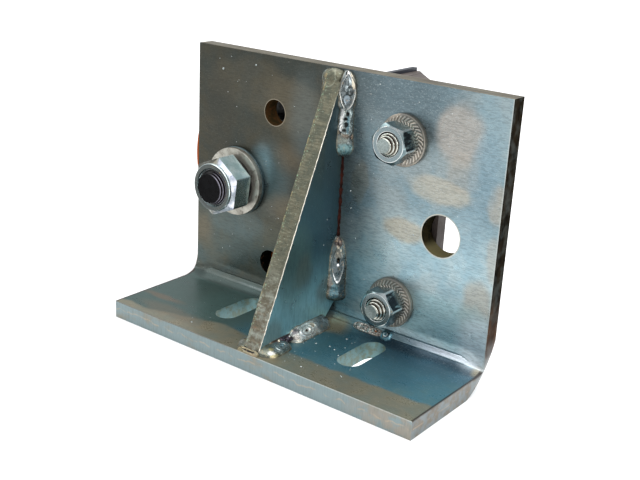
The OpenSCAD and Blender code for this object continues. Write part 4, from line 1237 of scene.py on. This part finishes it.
def spatter():
    rng = random.Random(9)
    spots = []

    def size():
        return rng.uniform(0.18, 0.42) * MM if rng.random() < 0.85 else rng.uniform(0.5, 0.8) * MM

    # how many, on which side of the gusset, from and to where along X, and whether they are on the base
    for count, way, near, far, on_base in ((46, 1, 6, 60, False), (34, -1, 6, 84, False),
                                           (46, 1, 5, 46, True), (12, -1, 5, 60, True)):
        for _ in range(count):
            x = way * (GUSSET_X + rng.uniform(near, far) * MM)
            if on_base:
                spots.append((Vector((x, rng.uniform(-36, 12) * MM, PLATE_T)), size(), UP))
            else:
                spots.append((Vector((x, FACE_Y, rng.uniform(26, 146) * MM)), size(), FORWARD))
    holes = [(s * SHOE_BOLT_X, z, 14 * MM) for s in (-1, 1) for z in SHOE_BOLT_Z]
    holes += [(AXLE_X, AXLE_Z, 21 * MM), (-AXLE_X, AXLE_Z, 12 * MM)]
    keep = []
    for at, r, out in spots:
        if out == UP:
            bare = abs(abs(at.x) - SHOE_BOLT_X) < SLOT_R + 1 * MM and abs(at.y) < SLOT_LEN / 2 + 1 * MM
        else:
            bare = any(math.hypot(at.x - x, at.z - z) < clear for x, z, clear in holes)
        if not bare:
            keep.append((at, r, out))
    for dx, up, r in ((3.4, 4.6, 0.5), (4.2, 3.2, 0.4), (-9.2, 3.4, 0.3)):
        keep.append((Vector((dx * MM, FACE_Y - 0.1 * MM, GUSSET_TOP + up * MM)), r * MM, FORWARD))
    for _ in range(2):  # on the gusset's right side by the beads
        z = rng.uniform(20, 120)
        y = FACE_Y - rng.uniform(8, 14) * MM
        if (144 - z) * 0.436 > 14:
            keep.append((Vector((GUSSET_X, y, z * MM)), size(), RIGHT))
    return keep


blobs("weld_spatter", spatter(), M_SPATTER)


def seam():
    """Rust in the open corner between the two upright beads."""
    rows = 120
    z1, z0 = GUSSET_TOP - 40 * MM, GUSSET_TOP - 90 * MM
    wide = 1.15 + 0.4 * soft_noise((rows, 2), (30, 1), 91)[:, 0]
    verts = []
    for i in range(rows):
        z = z1 + (z0 - z1) * i / (rows - 1)
        w = float(wide[i]) * MM
        verts += [(GUSSET_X - NEAR, FACE_Y - w, z), (GUSSET_X + 0.35 * w, FACE_Y - 0.35 * w, z),
                  (GUSSET_X + w, FACE_Y + NEAR, z), (GUSSET_X - NEAR, FACE_Y + NEAR, z)]
    faces = grid_faces(rows, 4, False, True) + [(3, 2, 1, 0), tuple((rows - 1) * 4 + k for k in range(4))]
    new_object("open_seam_rust", verts, faces, slot="weld_bead", materials=[M_RUST], smooth=60)


seam()


# ---------------------------------------------------------------- fasteners


def threaded_end(name, x, z, y_tip, length, radius, pitch, material, slot, tip_r, taper):
    """A bolt's threaded end, its tip towards -Y: a helix, tapered to tip_r, with a shallow dimple."""
    rows_per_turn = 14
    rows = max(2, int(length / pitch * rows_per_turn))
    depth = 0.61 * pitch

    def profile(a):
        dimple = ((0.0, 0.3), (0.5, 0.22), (0.8, 0.04), (0.94, 0.0))
        points = [(tip_r * r, y_tip + dy * pitch * 0.4, 1.0) for r, dy in dimple]
        for j in range(rows + 1):
            y = length * j / rows
            phase = (y / pitch + a / (2 * math.pi)) % 1
            wave = min(1, max(0, abs(phase - 0.5) * 2 * 1.35 - 0.17))
            fade = min(1, y / (0.4 * pitch))
            r = tip_r + (radius - tip_r) * min(1, y / taper) - depth * wave * fade
            points.append((r, y_tip + y, 1 - wave * fade))
        return points

    obj = turned(name, x, z, 96, profile, closed=False, slot=slot, materials=[material], smooth=40)
    face_outwards(obj.data, merge=True)
    return obj


def nut(name, x, z, front, back, flats, bore, twist, material, slot, collar=None, face_r=None, heel=None):
    """A hexagonal nut or bolt head along Y. With a collar it is a lock nut. heel is (length, radius, slope)
    of a foot below the hexagon; without one the back is chamfered like the front."""
    corner = 0.25 * MM
    slope = math.tan(math.radians(30))
    thin = 0.04 * MM
    face_r = face_r or flats * 0.475
    depth, way = abs(back - front), math.copysign(1, back - front)
    corner_r = flats / 2 / math.cos(math.pi / 6) - corner

    def profile(a):
        side = (a - twist) % (math.pi / 3) - math.pi / 6
        reach = min(flats / 2 / math.cos(side), corner_r)
        chamfer = thin + max(0.0, reach - face_r) * slope
        if collar:
            cr, lip, foot, sunk = collar["r"], collar["lip_r"], collar["foot"], collar["sunk"]
            ring = [(bore, depth), (bore, sunk), (lip - 0.2 * MM, sunk), (lip, sunk - 0.15 * MM),
                    (lip, 0.4 * MM), (lip + 0.3 * MM, 0.05 * MM), (lip + 0.6 * MM, 0), (cr - 0.8 * MM, 0),
                    (cr - 0.35 * MM, 0.12 * MM), (cr - 0.08 * MM, 0.45 * MM), (cr, 0.9 * MM), (cr, foot)]
            edge = foot + collar["rise"]
            ring += [(cr + (reach - cr) * k / 8, foot + (edge - foot) * k / 8) for k in range(1, 9)]
        else:
            ring = [(bore, depth), (bore, 0.5 * MM), (bore + 0.35 * MM, 0.1 * MM),
                    (bore + 0.5 * MM, 0.02 * MM), (bore + 0.8 * MM, 0), (face_r * 0.93, 0),
                    (face_r * 0.96, 0)]
            edge = chamfer
            ring += [(face_r + (reach - face_r) * k / 7, thin + (edge - thin) * k / 7) for k in range(8)]
        low = depth - (heel[0] if heel else chamfer)
        ring += [(reach, edge + (low - edge) * k / 5) for k in (0.3, 1, 2, 3, 4, 4.7)]
        if heel:
            ring += [(reach - 0.1 * MM, low), (heel[1], low + heel[2]), (heel[1], depth)]
        else:
            ring += [(reach + (face_r - reach) * k / 3, low + (depth - thin - low) * k / 3) for k in range(4)]
            ring.append((face_r * 0.97, depth))
        # the third number marks thin painted highlights, not relief: 1 on the edges listed in bright, 0.7 on
        # the hexagon's corners
        at_corner = reach > corner_r - 0.02 * MM
        bright = (9,) if collar else (3, 7)
        return [(r, front + way * h, 1.0 if k in bright else 0.7 * (at_corner and r > reach - 0.02 * MM))
                for k, (r, h) in enumerate(ring)]

    obj = turned(name, x, z, 144, profile, twist=twist, slot=slot, materials=[material, M_FOOT_SHADOW, M_CONE])
    if collar:
        per = len(obj.data.polygons) // 144
        for face in obj.data.polygons:
            k = face.index % per
            # the two rings at a lock nut's foot get the near-black painted shadow, the slope gets the cone's
            # paint
            face.material_index = 1 if k in (per - 2, per - 3) else 2 if 10 < k < 19 else 0
    face_outwards(obj.data, merge=True)
    shade(obj, 28)
    return obj


def knurled_washer(name, x, z, front, back, bore, rim, thickness):
    """A dished contact washer: chevron ribs on its face, a smooth rim. Its relief is kept for the paint."""
    ribs = 34
    rise = (back - front) - thickness
    inner, outer = bore + 1.2 * MM, rim - 1.0 * MM
    middle = (inner + outer) / 2

    def profile(a):
        points = []
        for r in np.linspace(bore, rim, 40):
            t = (r - bore) / (rim - bore)
            y = front + rise * t ** 1.2
            high = 0.3
            if inner < r < outer:
                lean = abs(r - middle) / (outer - middle) * 0.95
                wave = float(smoothstep(0.25, 0.75, 0.5 + 0.5 * math.cos(a * ribs + lean * 2 * math.pi)))
                side = min(1, (r - inner) / (0.4 * MM), (outer - r) / (0.4 * MM))
                y -= 0.32 * MM * wave * side - 0.08 * MM * side
                high = 0.3 + (wave - 0.3) * side
            elif r >= outer:
                y -= 0.15 * MM * math.sin(math.pi * min(1, (r - outer) / (rim - outer)))
                high = 0.45
            points.append((r, y, high))
        under = ((rim + 0.02 * MM, 0.9 * MM), (rim, 0.1 * MM), (rim - 0.2 * MM, 0), (bore + 0.2 * MM, 0),
                 (bore, 0.2 * MM))
        return points + [(r, back - drop, 0.3) for r, drop in under]

    obj = turned(name, x, z, ribs * 18, profile, slot="washer_steel", materials=[M_KNURLED], smooth=50)
    face_outwards(obj.data)
    return obj


def plain_turned(name, x, z, outline, material, slot, steps, smooth=32):
    obj = turned(name, x, z, steps, lambda a: outline, slot=slot, materials=[material], smooth=smooth)
    face_outwards(obj.data, merge=True)
    return obj


LOCKNUT_TWIST = math.radians(23)
locknut = nut(
    "axle_locknut_collared", AXLE_X, AXLE_Z, lo("axle_locknut").y, hi("axle_locknut").y, 30 * MM, 10.02 * MM,
    LOCKNUT_TWIST, M_BRIGHT, "bright_zinc",
    collar={"r": 13.7 * MM, "foot": 1.6 * MM, "lip_r": 10.8 * MM, "sunk": 1.2 * MM, "rise": 1.9 * MM},
    heel=(2.9 * MM, 14.2 * MM, 0.1 * MM))
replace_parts(locknut, "axle_locknut")


def axle_bolt():
    tip_y, under_head = lo("axle_bolt").y, hi("head_washer").y
    tip = threaded_end("axle_bolt_thread", AXLE_X, AXLE_Z, tip_y, 46 * MM, 9.95 * MM, 1.5 * MM, M_BLACK,
                       "black_steel", 8.3 * MM, 4 * MM)
    outline = [(0.0005, tip_y + 45 * MM), (9.4 * MM, tip_y + 45 * MM), (10 * MM, tip_y + 46.2 * MM),
               (10 * MM, under_head), (0.0005, under_head)]
    plain_turned("axle_bolt_shank", AXLE_X, AXLE_Z, outline, M_BLACK, "black_steel", 96)
    nut("axle_bolt_head", AXLE_X, AXLE_Z, hi("axle_bolt").y, under_head, 30 * MM, 0.6 * MM, LOCKNUT_TWIST,
        M_BLACK, "black_steel", face_r=14.3 * MM)
    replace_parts(tip, "axle_bolt")


axle_bolt()


def shoe_bolt(i, z, twist):
    """One of the two M12 bolts, with its nut and its contact washer."""
    x = SHOE_BOLT_X
    low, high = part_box("shoe_nuts")
    one = nut(f"shoe_nut_{i}", x, z, low.y, high.y, 19 * MM, 6.02 * MM, twist, M_SMALL, "bright_zinc",
              face_r=8.9 * MM, heel=(2.3 * MM, 8.8 * MM, 1.5 * MM))
    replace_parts(one, "shoe_nuts")
    tip_y, head_low = lo("shoe_bolts").y, hi("shoe_head_washers").y
    stud = threaded_end(f"shoe_bolt_thread_{i}", x, z, tip_y, 32 * MM, 5.95 * MM, 1.75 * MM, M_STUD,
                        "bright_zinc", 3.6 * MM, 4.4 * MM)
    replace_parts(stud, "shoe_bolts")
    nut(f"shoe_bolt_head_{i}", x, z, hi("shoe_bolts").y, head_low, 18 * MM, 0.5 * MM, twist, M_SMALL,
        "bright_zinc", face_r=8.6 * MM)
    outline = [(0.0004, tip_y + 31 * MM), (5.9 * MM, tip_y + 31 * MM), (5.9 * MM, head_low + 0.2 * MM),
               (0.0004, head_low + 0.2 * MM)]
    plain_turned(f"shoe_bolt_shank_{i}", x, z, outline, M_STUD, "bright_zinc", 64, smooth=34)
    low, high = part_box("contact_washers")
    washer = knurled_washer(f"contact_washer_{i}", x, z, low.y, high.y, 6.4 * MM, 13.5 * MM, 2.4 * MM)
    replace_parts(washer, "contact_washers")


for i, degrees in enumerate((6, 47)):
    shoe_bolt(i, SHOE_BOLT_Z[i], math.radians(degrees))
for node, material, corner in (("axle_flat_washer", M_WASHER, 0.5 * MM),
                               ("axle_thin_washer", M_THIN_WASHER, 0.4 * MM)):
    low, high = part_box(node)
    rim = (high.x - low.x) / 2
    outline = rounded([(10.4 * MM, low.y), (rim, low.y), (rim, high.y), (10.4 * MM, high.y)], corner)
    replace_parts(plain_turned(node + "_ring", AXLE_X, AXLE_Z, outline, material, "washer_steel", 120), node)


# ---------------------------------------------------------------- CAD nodes that keep their shape

KEPT = {
    "locknut_insert": (M_NYLON, 0.2), "near_spacer": (M_TURNED, 0.3), "far_spacer": (M_TURNED, 0.3),
    "head_washer": (M_WASHER, 0.3), "wheel_core": (M_CORE, 0.5), "wheel_tyre": (M_TYRE, 0.0),
    "bearing_outer_rings": (M_BEARING, 0.3), "bearing_inner_rings": (M_BEARING, 0.3),
    "bearing_balls": (M_BEARING, 0.0), "bearing_cages": (M_CAGE, 0.0), "bearing_shields": (M_SEAL, 0.15),
    "bearing_spacer": (M_TURNED, 0.3), "retaining_rings": (M_BLACK, 0.2), "shoe_flange": (M_SHOE, 0.5),
    "shoe_leg": (M_SHOE, 0.35), "shoe_ribs": (M_SHOE, 0.4), "shoe_welds": (M_SHOE, 0.0),
    "wear_strip": (M_STRIP, 0.3), "wear_strip_screws": (M_SMALL, 0.15), "shoe_head_washers": (M_WASHER, 0.3),
}
for node, (material, edge) in KEPT.items():
    obj = CAD[node]
    for k in range(len(obj.material_slots)):
        obj.material_slots[k].material = material
    if edge:
        bevelled(node, edge * MM)


# ---------------------------------------------------------------- floor, light and camera


def area(name, at, towards, size, power):
    light = bpy.data.lights.new(name, "AREA")
    light.shape = "RECTANGLE"
    light.size, light.size_y = size
    light.energy = power
    obj = linked(name, light)
    obj.location = at
    obj.rotation_mode = "QUATERNION"
    obj.rotation_quaternion = (Vector(towards) - Vector(at)).to_track_quat("-Z", "Y")


def studio():
    half = 6.0
    corners = [(-half, -half, 0), (half, -half, 0), (half, half, 0), (-half, half, 0)]
    ground = new_object("floor", corners, [(0, 1, 2, 3)])
    p = Paint("pale_floor")
    p.base = p.mix(p.noise(60, 3, 0.5), (0.86, 0.86, 0.86, 1), (0.9, 0.9, 0.9, 1))
    # two patches of the floor under the base's slots glow, as painted light that keeps the floor white there
    under = [p.patch((sx * 42.5, 0, 0), (14, 24, 5), 0.2) for sx in (-1, 1)]
    p.put(p.shader.inputs["Emission Color"], (1, 1, 1, 1))
    p.put(p.shader.inputs["Emission Strength"], p.plus(*under))
    ground.data.materials.append(p.done(0.0, 0.75, specular=0.2))
    world = bpy.data.worlds.new("studio")
    world.use_nodes = True
    bpy.context.scene.world = world
    back = world.node_tree.nodes["Background"]
    back.inputs["Color"].default_value = (0.86, 0.88, 0.90, 1)
    back.inputs["Strength"].default_value = 0.7
    area("top_softbox", (0.1, 0.6, 2.6), (0.1, 0.6, 0), (5.0, 5.0), 170)
    area("right_softbox", (1.3, -0.5, 0.7), (0, 0, 0.07), (0.7, 0.9), 8)
    area("left_fill", (-1.3, -0.9, 0.9), (0, 0, 0.07), (0.8, 0.8), 5)


def camera():
    azimuth, elevation, roll = (math.radians(a) for a in (36.6845, 19.525, 3.0721))
    lens_at = Vector((0.303258, -0.391479, 0.238063))
    level_reach = math.cos(elevation)
    ahead = Vector((-math.sin(azimuth) * level_reach, math.cos(azimuth) * level_reach, -math.sin(elevation)))
    level = ahead.cross(Vector((0, 0, 1))).normalized()
    turn = Matrix.Rotation(-roll, 3, ahead)
    right = turn @ level
    up = right.cross(ahead)
    data = bpy.data.cameras.new("camera")
    data.sensor_width = 36
    data.lens = 56.257
    data.clip_start = 0.01
    obj = linked("camera", data)
    obj.matrix_world = Matrix.Translation(lens_at) @ Matrix((right, up, -ahead)).transposed().to_4x4()
    bpy.context.scene.camera = obj


studio()
camera()
bpy.context.scene.view_settings.view_transform = "Standard"
